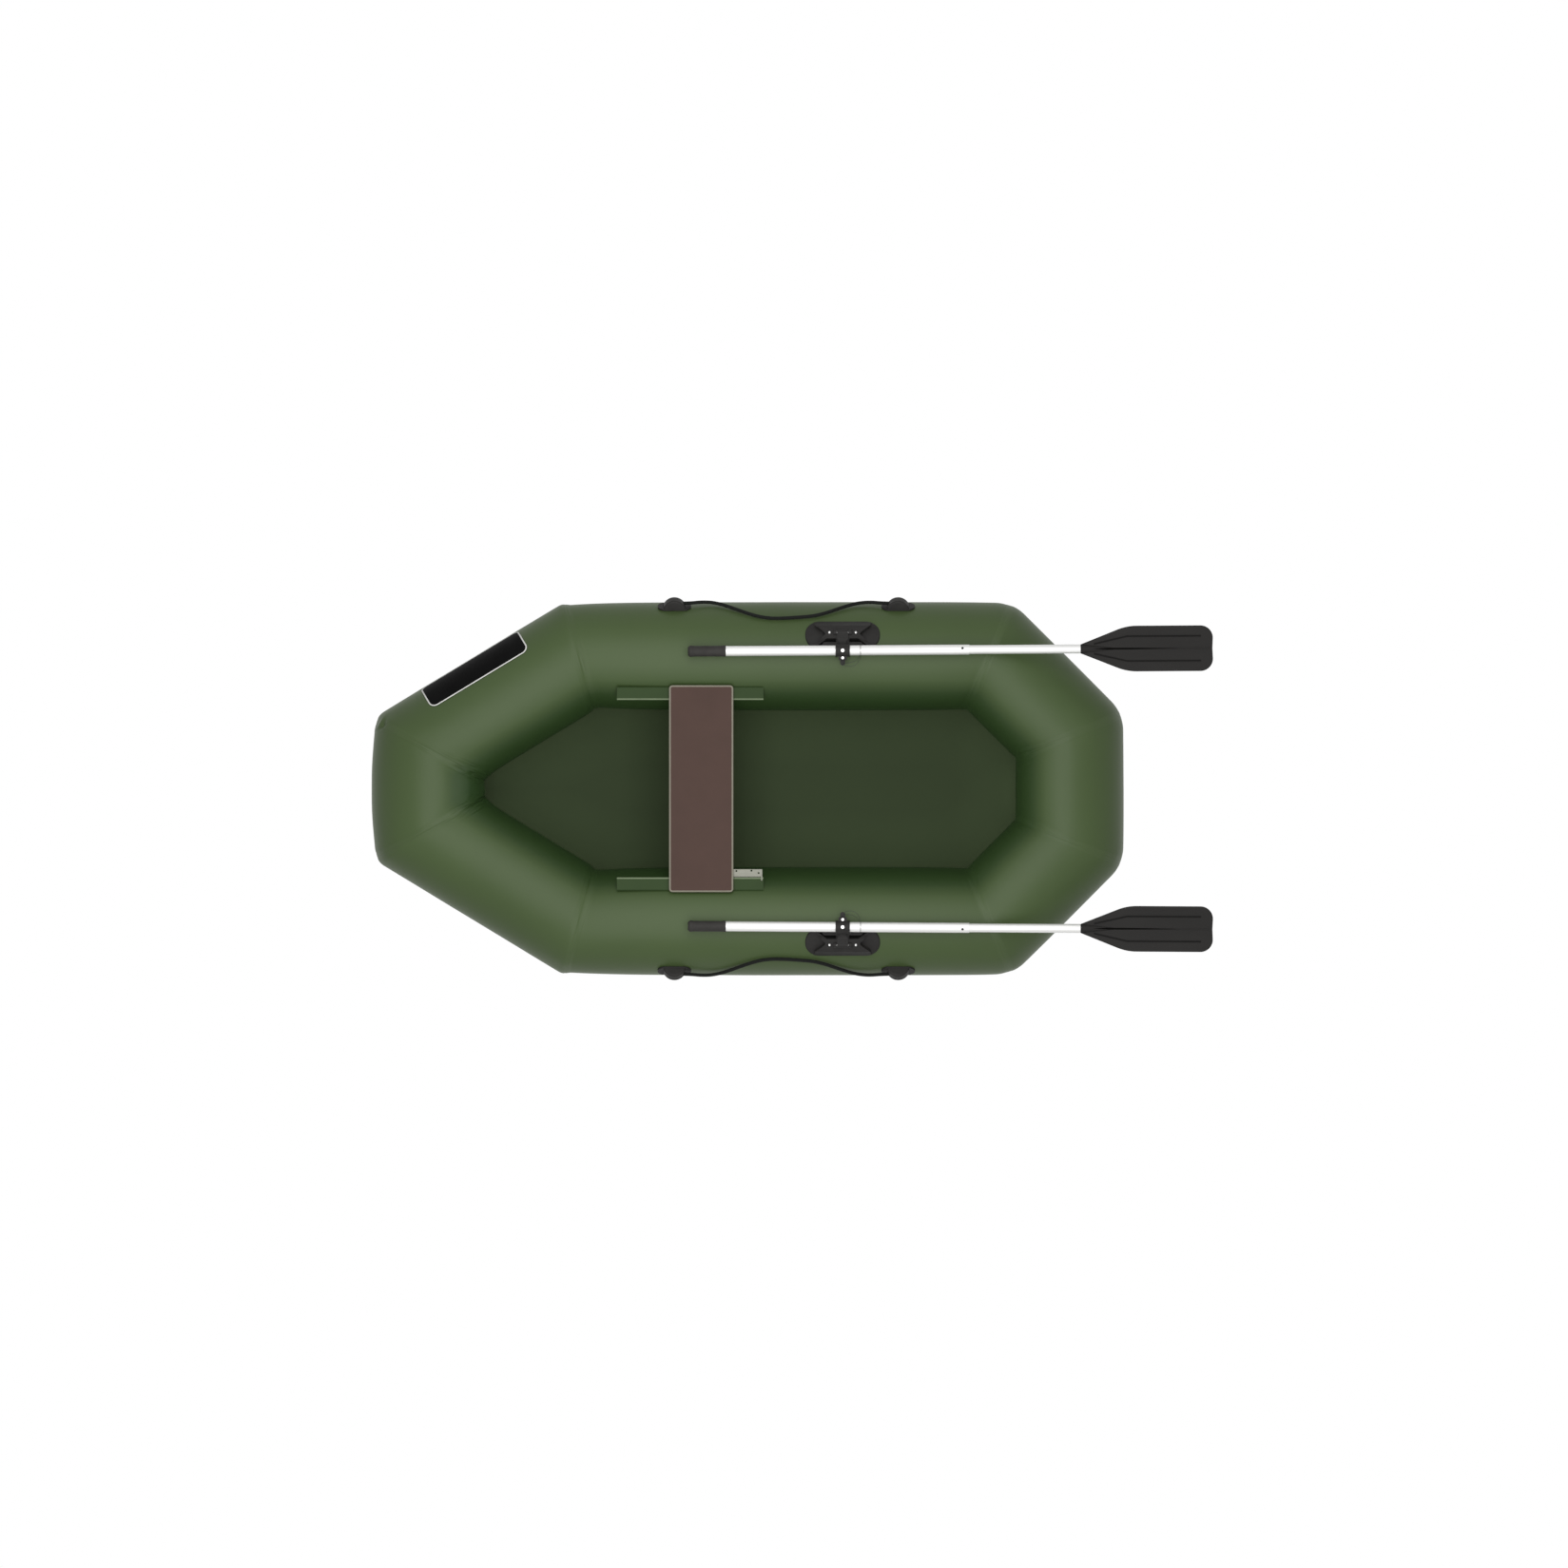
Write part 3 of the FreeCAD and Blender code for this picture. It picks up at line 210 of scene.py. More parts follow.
def hull_fabric(name, colour, rough, vary_scale, specular, shade, start, end):
    """Coated fabric whose tone follows the distance in from the hull's outline, as painted shade on the
    tubes' inner sides and as painted light on the floor's rim. The colours of shade multiply its own between
    the distances start and end."""
    made = Nodes(name)
    low = tuple((1 - FABRIC_DRIFT) * c for c in colour)
    high = tuple((1 + FABRIC_DRIFT) * c for c in colour)
    unshaded_tone = made.ramp(made.noise(vary_scale, detail=4.0, rough=0.55), [(0.3, low), (0.7, high)])
    split = made.add("ShaderNodeSeparateXYZ")
    made.link(made.place, split.inputs[0])
    folded = made.add("ShaderNodeCombineXYZ")
    made.link(split.outputs["X"], folded.inputs["X"])
    made.link(made.maths("ABSOLUTE", split.outputs["Y"]), folded.inputs["Y"])
    inset = None
    for normal, reach in PLAN_SIDES:
        dot = made.add("ShaderNodeVectorMath", operation="DOT_PRODUCT")
        made.link(folded.outputs[0], dot.inputs[0])
        dot.inputs[1].default_value = (*normal, 0)
        gap = made.maths("MULTIPLY_ADD", dot.outputs["Value"], -1.0, reach)
        inset = gap if inset is None else made.maths("SMOOTH_MIN", gap, inset, PLAN_ROUNDING)
    painted_light_and_shade = made.ramp(made.spread(inset, 0.0, 1.0, start, end), shade)
    made.link(made.mix(1.0, unshaded_tone, painted_light_and_shade, blend_type="MULTIPLY"), made.shader.inputs["Base Color"])
    fine = made.noise(FABRIC_GRAIN, detail=2.0)
    made.link(made.spread(fine, rough - FABRIC_ROUGH_VARY, rough + FABRIC_ROUGH_VARY),
              made.shader.inputs["Roughness"])
    made.shader.inputs["Specular IOR Level"].default_value = specular
    made.bump(fine, FABRIC_GRAIN_DEPTH)
    return made.material


# The hull's fabric carries painted shade, darker towards the floor on the tubes' inner sides.
hull_green = hull_fabric("hull_coated_fabric", (0.0550, 0.0860, 0.0292), 0.47, 2.2, 0.26,
                         INNER_PAINTED_SHADE, INNER_START, INNER_END)
seam_green = hull_fabric("seam_coated_fabric", (0.0565, 0.0880, 0.0302), 0.46, 5.0, 0.28,
                         INNER_PAINTED_SHADE, INNER_START, INNER_END)
# The flap's green is darker than the hull's: painted shade of the tube's inner side where the flap lies.
flap_green_painted_shade = surface("flap_coated_fabric", (0.030, 0.053, 0.0175), 0.55, vary=0.07, vary_scale=9.0,
                     grain=FABRIC_GRAIN, grain_depth=0.00005, specular=0.12)
# The bead is coloured far paler than the flap: a painted highlight along its rounded edge.
bead_painted_highlight = surface("flap_bead", (0.150, 0.195, 0.110), 0.5, vary=0.08, vary_scale=30.0,
                     grain=FABRIC_GRAIN, grain_depth=0.00005, specular=0.3)
# The floor's rim is coloured lighter than its middle: painted light against the shade under the tubes.
floor_green = hull_fabric("floor_coated_fabric", (0.0490, 0.0720, 0.0305), 0.65, 2.0, 0.1,
                          FLOOR_RIM_PAINTED_LIGHT, INNER_END, INNER_END + FLOOR_RIM)
black_moulding = surface("black_moulding", (0.023, 0.022, 0.021), 0.5, vary=0.14, vary_scale=30.0,
                         grain=1800.0, grain_depth=0.00003, specular=0.12)
blade_plastic = surface("blade_plastic", (0.022, 0.021, 0.020), 0.52, vary=0.10, vary_scale=14.0,
                        grain=1500.0, grain_depth=0.00003, specular=0.1, stretch=(0.25, 1, 1))
grip_plastic = surface("grip_plastic", (0.036, 0.034, 0.032), 0.6, vary=0.15, vary_scale=40.0,
                       grain=1200.0, grain_depth=0.00006, specular=0.12)
valve_plastic = surface("valve_plastic", (0.024, 0.025, 0.024), 0.48, vary=0.15, vary_scale=30.0,
                        specular=0.2)
bright_aluminium = surface("bright_aluminium", (0.24, 0.24, 0.20), 0.55, metal=0.3, vary=0.08,
                           vary_scale=25.0, grain=1100.0, grain_depth=0.00003, stretch=(0.08, 1, 1))
shaft_aluminium = surface("shaft_aluminium", (0.80, 0.80, 0.785), 0.42, metal=0.35, vary=0.02,
                          vary_scale=12.0, grain=900.0, grain_depth=0.00002, stretch=(0.05, 1, 1))
steel = surface("bright_steel", (0.66, 0.66, 0.65), 0.3, metal=1.0, vary=0.08, vary_scale=80.0)
dark_button = surface("dark_button", (0.030, 0.030, 0.030), 0.45, vary=0.1, vary_scale=90.0, specular=0.2)
# Near black for hollows: painted shade in the housing's recesses and along the blade's groove.
painted_hollow_shade = surface("painted_shade_black", (0.005, 0.005, 0.0045), 0.7, vary=0.1, vary_scale=60.0, specular=0.02)
# Darker than the blade's plate: painted shade on the blade's ribs.
blade_rib_painted_shade = surface("blade_rib_painted_shade", (0.0125, 0.012, 0.0115), 0.6, vary=0.1, vary_scale=20.0, specular=0.04)
wire_grey = surface("wire_grey", (0.05, 0.055, 0.045), 0.45, metal=0.5, vary=0.1, vary_scale=120.0,
                    specular=0.2)
plate_black = surface("plate_film", (0.006, 0.006, 0.006), 0.5, vary=0.2, vary_scale=20.0,
                      grain_depth=0.00001, specular=0.02)
plate_pale = surface("plate_border", (0.78, 0.78, 0.75), 0.5, vary=0.05, vary_scale=60.0,
                     grain_depth=0.00001, specular=0.2)


def rope_braid():
    """Dark braid: two sets of slanting strands over each other."""
    made = Nodes("rope_braid")
    strands = []
    for slant in (1, -1):
        wave = made.add("ShaderNodeTexWave", wave_type="BANDS", bands_direction="DIAGONAL")
        wave.inputs["Scale"].default_value = 160.0
        wave.inputs["Distortion"].default_value = 0.5
        wave.inputs["Detail Scale"].default_value = 3.0
        made.link(made.scaled((1.0, 0.9 * slant, 0.9 * slant)), wave.inputs["Vector"])
        strands.append(wave.outputs["Fac"])
    weave = made.maths("MULTIPLY", *strands)
    made.link(made.ramp(weave, [(0.05, (0.007, 0.008, 0.007)), (0.6, (0.021, 0.022, 0.020))]),
              made.shader.inputs["Base Color"])
    made.shader.inputs["Roughness"].default_value = 0.8
    made.shader.inputs["Specular IOR Level"].default_value = 0.1
    made.bump(weave, 0.0004)
    return made.material


rope_black = rope_braid()


PALE_PLY = (0.33, 0.31, 0.25)
# The pale band round the board's face: its corner's radius, its width, and half its soft edge.
BOARD_CORNER = 0.009
BAND_WIDTH = 0.0042
BAND_SOFT = 0.0003


def plywood_face(middle, half):
    """Brown film with the pale plies laid bare in a band along the board's rounded edge."""
    made = Nodes("plywood_film_face")
    drift = made.noise(7.0, detail=5.0, rough=0.6)
    film = made.ramp(drift, [(0.25, (0.068, 0.041, 0.033)), (0.75, (0.081, 0.048, 0.039))])
    offset = made.vector("SUBTRACT", made.place, middle)
    folded = made.vector("ABSOLUTE", offset, (0, 0, 0))
    beyond = made.vector("SUBTRACT", folded, (half[0] - BOARD_CORNER, half[1] - BOARD_CORNER, 1.0))
    outside = made.vector("MAXIMUM", beyond, (0, 0, 0))
    reach = made.add("ShaderNodeVectorMath", operation="LENGTH")
    made.link(outside, reach.inputs[0])
    edge = BOARD_CORNER - BAND_WIDTH
    bare = made.spread(reach.outputs["Value"], 0.0, 1.0, edge - BAND_SOFT, edge + BAND_SOFT)
    plies = made.ramp(made.noise(60.0, rough=0.6), [(0.3, (0.25, 0.235, 0.185)), (0.7, PALE_PLY)])
    made.link(made.mix(bare, film, plies), made.shader.inputs["Base Color"])
    fine = made.noise(700.0, rough=0.6)
    made.link(made.spread(fine, 0.44, 0.6), made.shader.inputs["Roughness"])
    made.shader.inputs["Specular IOR Level"].default_value = 0.1
    made.bump(fine, 0.00006)
    return made.material


def plywood_edge():
    """Pale plies, one dark line between each two."""
    made = Nodes("plywood_edge")
    wave = made.add("ShaderNodeTexWave", wave_type="BANDS", bands_direction="Z")
    wave.inputs["Scale"].default_value = 110.0
    wave.inputs["Distortion"].default_value = 0.6
    wave.inputs["Detail"].default_value = 2.0
    made.link(made.place, wave.inputs["Vector"])
    made.link(made.ramp(wave.outputs["Fac"], [(0.1, (0.19, 0.17, 0.13)), (0.9, PALE_PLY)]),
              made.shader.inputs["Base Color"])
    made.shader.inputs["Roughness"].default_value = 0.7
    made.bump(made.noise(900.0, rough=0.6, stretch=(1, 1, 0.3)), 0.0001)
    return made.material


board_low, board_high = (Vector(corner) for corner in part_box("seat_board"))
board_half = (board_high - board_low) / 2
seat_face = plywood_face((board_low + board_high) / 2, board_half)
seat_edge = plywood_edge()


def dress(name, material):
    """Gives a CAD node its material."""
    thing = nodes[name]
    thing.data.materials.clear()
    thing.data.materials.append(material)
    return thing


def mesh_object(name, points, faces, materials, indices=None):
    """A smooth mesh, with one material or with a material's index for each face."""
    mesh = bpy.data.meshes.new(name)
    mesh.from_pydata([tuple(p) for p in points], [], faces)
    for material in materials:
        mesh.materials.append(material)
    if indices is not None:
        mesh.polygons.foreach_set("material_index", indices)
    mesh.polygons.foreach_set("use_smooth", [True] * len(mesh.polygons))
    mesh.update()
    made = bpy.data.objects.new(name, mesh)
    scene.collection.objects.link(made)
    return made


def round_curve(name, places, radius, rounding, steps, material):
    """A round cord along a smooth line through a row of places."""
    curve = bpy.data.curves.new(name, "CURVE")
    curve.dimensions = "3D"
    curve.bevel_depth = radius
    curve.bevel_resolution = rounding
    curve.use_fill_caps = True
    spline = curve.splines.new("NURBS")
    spline.points.add(len(places) - 1)
    for point, place in zip(spline.points, places):
        point.co = (*place, 1)
    spline.order_u = 3
    spline.use_endpoint_u = True
    spline.resolution_u = steps
    curve.materials.append(material)
    made = bpy.data.objects.new(name, curve)
    scene.collection.objects.link(made)
    return made


# Hull skin: one continuous skin over the eight tubes, with the fabric's creases at the mitres.

TURNS = [math.pi / 2 - BOW_ANGLE, BOW_ANGLE, STERN_ANGLE, math.pi / 2 - STERN_ANGLE]
TURNS = TURNS + TURNS[::-1]


def octagon(inset):
    """The plan's corners, from the port side of the nose round by the stern, moved inward."""
    nose = NOSE_Y - inset * math.tan(TURNS[0] / 2)
    stern = STERN_Y - inset * math.tan(TURNS[3] / 2)
    port = [(BOW_X - inset, nose), (SHOULDER_X - inset * math.tan(BOW_ANGLE / 2), BEAM_Y - inset),
            (QUARTER_X + inset * math.tan(STERN_ANGLE / 2), BEAM_Y - inset), (inset - BOW_X, stern)]
    return np.array(port + [(x, -y) for x, y in reversed(port)])


# Points round the tube. They lie closer together at the angles where the nose corner is wrinkled.
AROUND = 132
FINE_FROM = math.radians(40)
FINE_TO = math.radians(75)
FINE_STEPS = 30
# Rows along the tube, as distances from a mitre: evenly close at a puckered nose mitre, or else in the
# steps that the seam tape and its line need, then wider and wider.
TAPE_HALF = 0.0115
SEAM_LINE = 0.0045
FINE_ROWS = [0.0015 * k for k in range(20)] + [0.031, 0.0335, 0.037]
PLAIN_ROWS = [0.0, 0.003, SEAM_LINE, 0.006, 0.009, TAPE_HALF, 0.013, 0.0155, 0.018, 0.021, 0.0245, 0.028,
              0.032, 0.037]
WIDER_ROWS = [0.043, 0.050, 0.058, 0.067, 0.078, 0.090, 0.104, 0.120, 0.138, 0.158, 0.180]
ROW_STEP = 0.026
ROW_LEAST = 0.006
# From the port nose mitre round: how far the tube before and the tube after each mitre is drawn in,
# each with the length over which that fades.
DRAWN = [(0.0060, 0.060, 0.0010, 0.05), (0.0005, 0.06, 0.0085, 0.11), (0.0040, 0.06, 0.0010, 0.06),
         (0.0010, 0.06, 0.0020, 0.05)]
DRAWN = DRAWN + [(after, fade_after, before, fade) for before, fade, after, fade_after in DRAWN[::-1]]
# In the same order: how deep each mitre's creases are, and its radius outside. Inside it's the least.
CREASE = [1.8, 1.0, 1.0, 1.2, 1.2, 1.0, 1.0, 1.8]
ROUND = [0.058, 0.058, 0.110, 0.110, 0.110, 0.110, 0.058, 0.058]
ROUND_LEAST = 0.012
NOSE_MITRES = (0, 7)
# On lines shorter than the tube's middle, rows at a mitre stand at most this much wider than evenly.
STRETCH_MOST = 1.5
# The creased inner half of a tube: how far it reaches over the crown, and how soon it is in full, both
# as sines. The two tubes at a mitre blend over twice the last length.
INNER_OVER, INNER_SPAN = 0.15, 0.9
MITRE_BLEND = 0.02
# Each unevenness of the fabric: its height, and the length over which it fades.
CREASE_HEIGHT, CREASE_FADE = 0.0016, 0.022
SWELL_HEIGHT, SWELL_FADE = 0.0010, 0.06
PUCKER_DEPTH, PUCKER_FADE, PUCKER_WIDTH = 0.0034, 0.024, 0.20
NOSE_INNER_HEIGHT, NOSE_INNER_FADE = 0.012, 0.025
NOSE_BULGE, NOSE_BULGE_REACH = 0.0062, 0.16
TAPE_HEIGHT, TAPE_EDGE = 0.0003, 0.0015
RIDGE_HEIGHT, RIDGE_HALF = 0.0007, 0.0015
DRIFT_HEIGHT = 0.0004
# The noises' scales for the angle round the tube, the distance from a mitre and that mitre's number. The
# drift's are for the place in plan and the angle.
CREASE_SCALES, FINE_CREASE_SCALES = (1.6, 95.0, 3.7), (3.0, 190.0, 5.1)
SWELL_SCALES, PUCKER_SCALES, RIDGE_SCALES = (3.5, 9.0, 2.3), (2.6, 105.0, 3.7), (2.2, 60.0, 1.9)
DRIFT_SCALES = (6.0, 6.0, 1.5)
# A pucker sways to and fro on its way round the tube, and a seam's ridge shows here and there.
PUCKER_SWAY, PUCKER_SWAYS = 0.8, 4.0
RIDGE_SHOWN, RIDGE_CONTRAST = 0.5, 1.6
# The skin lies this far inside the true tube, sinks no deeper than this, and stays clear of the ground.
SKIN_UNDER = 0.0006
SKIN_DEEPEST = 0.02
GROUND_GAP = 0.0004
# The fold at the outer starboard nose corner: its middle and its direction in plan, then the depth,
# half length and half width of its hollow, and the same of the lip beside it.
WRINKLE_AT = (0.9775, -0.1715)
WRINKLE_WAY = (-0.57, -0.82)
HOLLOW_DEPTH, HOLLOW_LONG, HOLLOW_WIDE = 0.0055, 0.012, 0.0038
LIP_HEIGHT, LIP_LONG, LIP_WIDE, LIP_ASIDE = 0.0030, 0.018, 0.0034, 0.0072


def half_offsets(half, fine):
    """Distances from a mitre to the middle of a tube, close together near the mitre."""
    steps = (FINE_ROWS if fine else PLAIN_ROWS) + WIDER_ROWS
    while steps[-1] < half:
        steps.append(steps[-1] + ROW_STEP)
    inner = [s for s in steps if s < half - ROW_LEAST]
    return inner + [half]


def smooth_step(value):
    value = min(1.0, max(0.0, value))
    return value * value * (3 - 2 * value)


def direction(start, end):
    return (end - start) / np.linalg.norm(end - start)


def hull_skin():
    thetas = [t for t in (2 * math.pi * k / AROUND for k in range(AROUND)) if not FINE_FROM < t < FINE_TO]
    thetas = sorted(thetas + list(np.linspace(FINE_FROM, FINE_TO, FINE_STEPS)))
    corners = [octagon(TUBE_R * (1 - math.sin(t))) for t in thetas]
    middle = octagon(TUBE_R)
    mitres = len(middle)
    rings = []
    for c in range(mitres):
        before = np.linalg.norm(middle[c] - middle[c - 1]) / 2
        after = np.linalg.norm(middle[(c + 1) % mitres] - middle[c]) / 2
        fine = c in NOSE_MITRES
        rings += [(c, -s, before) for s in reversed(half_offsets(before, fine)[1:-1])]
        rings += [(c, s, after) for s in half_offsets(after, fine)]
    points = []
    for c, nominal, half in rings:
        sign = -1 if nominal < 0 else 1
        share = abs(nominal) / half
        turn = TURNS[c]
        along_in = direction(middle[c - 1], middle[c])
        along_out = direction(middle[c], middle[(c + 1) % mitres])
        along = along_out if sign > 0 else along_in
        bisector = direction(along_out, along_in)
        for theta, poly in zip(thetas, corners):
            st, ct = math.sin(theta), math.cos(theta)
            here = poly[c]
            other = poly[(c + 1) % mitres] if sign > 0 else poly[c - 1]
            # Near a mitre the rows keep their spacing on lines of any length round the tube.
            reach = np.linalg.norm(other - here) / 2
            slope = min(half, STRETCH_MOST * reach)
            s = reach * share + (slope - reach) * share * (1 - share) ** 2
            radius = ROUND_LEAST + (ROUND[c] - ROUND_LEAST) * max(0.0, st) ** 1.5
            cut_back = radius * math.tan(turn / 2)
            if s >= cut_back:
                spot = here + sign * s * along
                normal = np.array((along[1], -along[0]))
            else:
                centre = here - bisector * radius / math.cos(turn / 2)
                angle = sign * s / cut_back * turn / 2
                ca, sa = math.cos(angle), math.sin(angle)
                normal = np.array((bisector[0] * ca - bisector[1] * sa, bisector[0] * sa + bisector[1] * ca))
                spot = centre + radius * normal
            push = skin_push(c, sign * s, theta, spot)
            points.append((spot[0] + normal[0] * st * push, spot[1] + normal[1] * st * push,
                           TUBE_R + TUBE_R * ct + ct * push))
    faces, indices = [], []
    count, around = len(rings), len(thetas)
    for j in range(count):
        nxt = (j + 1) % count
        taped = max(abs(rings[j][1]), abs(rings[nxt][1])) <= TAPE_HALF
        here, ahead = j * around, nxt * around
        for k in range(around):
            up = (k + 1) % around
            faces.append((here + k, here + up, ahead + up, ahead + k))
            indices.append(1 if taped else 0)
    return mesh_object("hull_skin", points, faces, [hull_green, seam_green], indices)


def wrinkle(spot, theta):
    """A short fold with a raised lip at the outer starboard nose corner."""
    if math.cos(theta) <= 0 or spot[1] > 0:
        return 0.0
    off = (spot[0] - WRINKLE_AT[0], spot[1] - WRINKLE_AT[1])
    along = off[0] * WRINKLE_WAY[0] + off[1] * WRINKLE_WAY[1]
    across = off[0] * WRINKLE_WAY[1] - off[1] * WRINKLE_WAY[0]
    hollow = -HOLLOW_DEPTH * math.exp(-(along / HOLLOW_LONG) ** 2 - (across / HOLLOW_WIDE) ** 2)
    lip = LIP_HEIGHT * math.exp(-(along / LIP_LONG) ** 2 - ((across + LIP_ASIDE) / LIP_WIDE) ** 2)
    return hollow + lip


def scaled_noise(scales, *place):
    return noise.noise([value * scale for value, scale in zip(place, scales)])


def skin_push(c, s, theta, spot):
    """How far the fabric stands out from, or sinks below, a true tube at one place."""
    away = abs(s)
    inner = smooth_step((-math.sin(theta) + INNER_OVER) / INNER_SPAN)
    before, fade, after, fade_after = DRAWN[c]
    side = smooth_step((s + MITRE_BLEND) / (2 * MITRE_BLEND))
    push = -(before * math.exp(-away / fade) * (1 - side) + after * math.exp(-away / fade_after) * side)
    fold = scaled_noise(CREASE_SCALES, theta, s, c) + 0.5 * scaled_noise(FINE_CREASE_SCALES, theta, s, c)
    push += CREASE_HEIGHT * fold * math.exp(-away / CREASE_FADE) * CREASE[c] * inner ** 3
    push += SWELL_HEIGHT * scaled_noise(SWELL_SCALES, theta, s, c) * math.exp(-away / SWELL_FADE)
    if c in NOSE_MITRES:
        round_scale, along_scale, mitre_scale = PUCKER_SCALES
        sway = PUCKER_SWAY * math.sin(theta * PUCKER_SWAYS)
        wave = noise.noise((s * along_scale + sway, theta * round_scale, c * mitre_scale))
        pucker = math.exp(-(wave / PUCKER_WIDTH) ** 2)
        push -= PUCKER_DEPTH * pucker * inner ** 5 * math.exp(-(away / PUCKER_FADE) ** 2)
        nose_side = s if c == NOSE_MITRES[1] else -s
        fading = 1.0 if nose_side > 0 else math.exp(nose_side / NOSE_INNER_FADE)
        push += NOSE_INNER_HEIGHT * inner ** 6 * fading
        push += NOSE_BULGE * smooth_step(nose_side / NOSE_BULGE_REACH) * max(0.0, math.sin(theta))
        push += wrinkle(spot, theta)
    push += TAPE_HEIGHT * (1 - smooth_step((away - TAPE_HALF) / TAPE_EDGE))
    shown = smooth_step(RIDGE_SHOWN + RIDGE_CONTRAST * scaled_noise(RIDGE_SCALES, theta, s, c))
    push += RIDGE_HEIGHT * shown * max(0.0, 1 - abs(away - SEAM_LINE) / RIDGE_HALF)
    push += DRIFT_HEIGHT * scaled_noise(DRIFT_SCALES, spot[0], spot[1], theta)
    push -= SKIN_UNDER
    if math.cos(theta) >= 0:
        return max(push, -SKIN_DEEPEST)
    # Under the hull the tube keeps its place, so that it closes on the floor.
    lowest = -SKIN_DEEPEST * (1 + math.cos(theta)) - SKIN_UNDER
    room = TUBE_R * (1 + math.cos(theta)) - GROUND_GAP
    return min(max(push, lowest), room)


skin = hull_skin()
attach(skin, "hull")
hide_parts("tube_nose", "tube_stern", "tube_port_bow", "tube_port_side", "tube_port_quarter",
            "tube_starboard_bow", "tube_starboard_side", "tube_starboard_quarter")


# Floor sheet, drawn tight between the tubes, with slight slackness.

FLOOR_INSET = 0.1520
FLOOR_COLUMNS, FLOOR_ROWS = 150, 60
FLOOR_THICK = 0.0009
# The sheet's height at its edge, then its slackness, which grows over this length in from the edge.
FLOOR_LIFT = 0.0016
SLACK_HEIGHT, SLACK_RIPPLE, SLACK_REACH = 0.0016, 0.0005, 0.10
SLACK_SCALES, RIPPLE_SCALES = (4.0, 5.0), (14.0, 16.0)


def width_at(poly, x):
    """Half the plan's width at one place along the hull."""
    port = poly[:4]
    return float(np.interp(x, port[::-1, 0], port[::-1, 1]))


def floor_sheet():
    poly = octagon(FLOOR_INSET)
    low_x, high_x = poly[:, 0].min(), poly[:, 0].max()
    points = []
    for i in range(FLOOR_COLUMNS + 1):
        x = low_x + (high_x - low_x) * i / FLOOR_COLUMNS
        half = width_at(poly, x)
        for j in range(FLOOR_ROWS + 1):
            y = half * (2 * j / FLOOR_ROWS - 1)
            edge = min(half - abs(y), x - low_x, high_x - x)
            slack = smooth_step(edge / SLACK_REACH)
            wave = noise.noise((x * SLACK_SCALES[0], y * SLACK_SCALES[1], 2.0))
            ripple = noise.noise((x * RIPPLE_SCALES[0], y * RIPPLE_SCALES[1], 5.0))
            lift = FLOOR_LIFT + SLACK_HEIGHT * slack * (0.5 + wave) + SLACK_RIPPLE * slack * ripple
            points.append((x, y, lift))
    faces = []
    row = FLOOR_ROWS + 1
    for i in range(FLOOR_COLUMNS):
        for a in range(i * row, i * row + FLOOR_ROWS):
            faces.append((a, a + row, a + row + 1, a + 1))
    made = mesh_object("floor_sheet", points, faces, [floor_green])
    thick = made.modifiers.new("thick", "SOLIDIFY")
    thick.thickness = FLOOR_THICK
    thick.offset = -1
    return made


floor_piece = floor_sheet()
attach(floor_piece, "hull")
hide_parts("floor")


# Grab ropes: the port one's route, from its fore eye to its aft eye.

ROPE_RADIUS = 0.0045
ROPE_POINTS = [
    (0.1812, 0.4941, 0.2138), (0.1560, 0.4943, 0.2132), (0.1280, 0.4972, 0.2018), (0.0980, 0.4967, 0.1987),
    (0.0680, 0.4900, 0.2118), (0.0380, 0.4796, 0.2288), (0.0070, 0.4683, 0.2435), (-0.0260, 0.4582, 0.2540),
    (-0.0600, 0.4535, 0.2582), (-0.0970, 0.4542, 0.2574), (-0.1350, 0.4567, 0.2550),
    (-0.1710, 0.4595, 0.2526), (-0.2040, 0.4674, 0.2445), (-0.2350, 0.4781, 0.2310),
    (-0.2650, 0.4882, 0.2154), (-0.2950, 0.4952, 0.2025), (-0.3250, 0.4970, 0.2023),
    (-0.3550, 0.4943, 0.2132), (-0.3812, 0.4941, 0.2138)]


def rope(side, hand):
    places = [(x, hand * y, z) for x, y, z in ROPE_POINTS]
    made = round_curve("grab_rope_" + side, places, ROPE_RADIUS, 6, 12, rope_black)
    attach(made, "hull")
    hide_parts("rope_" + side)


for side, hand in SIDES:
    rope(side, hand)


# CAD pieces

EASED_FROM = math.radians(35)


def eased(thing, width):
    """Softens a moulded piece's sharp edges a little."""
    bevel = thing.modifiers.new("eased_edges", "BEVEL")
    bevel.width = width
    bevel.segments = 2
    bevel.limit_method = "ANGLE"
    bevel.angle_limit = EASED_FROM


# The flap's bead lies nearer the middle of the boat than this.
BEAD_INNER_Y = 0.2408

for side in ("port", "starboard"):
    flap = dress("flap_" + side, flap_green_painted_shade)
    flap.data.materials.append(bead_painted_highlight)
    for face in flap.data.polygons:
        face.material_index = 1 if abs((flap.matrix_world @ face.center).y) < BEAD_INNER_Y else 0
    dress("runner_" + side, bright_aluminium)
    eased(dress("lock_pad_" + side, black_moulding), 0.0006)
    eased(dress("lock_housing_" + side, black_moulding), 0.0007)
    eased(dress("lock_arm_" + side, black_moulding), 0.0005)
    dress("lock_pin_" + side, steel)
    eased(dress("collar_" + side, black_moulding), 0.0006)
    dress("swivel_bolt_" + side, steel)
    dress("clamp_screw_" + side, steel)
    dress("shaft_fore_" + side, shaft_aluminium)
    dress("shaft_aft_" + side, shaft_aluminium)
    dress("grip_" + side, grip_plastic)
    dress("blade_" + side, blade_plastic)
    dress("valve_" + side, valve_plastic)
    for where in ("fore", "aft"):
        dress(f"rope_eye_{side}_{where}", black_moulding)


# The housing's recess floors lie within this radius of the tube's middle line.
RECESS_R = 0.152
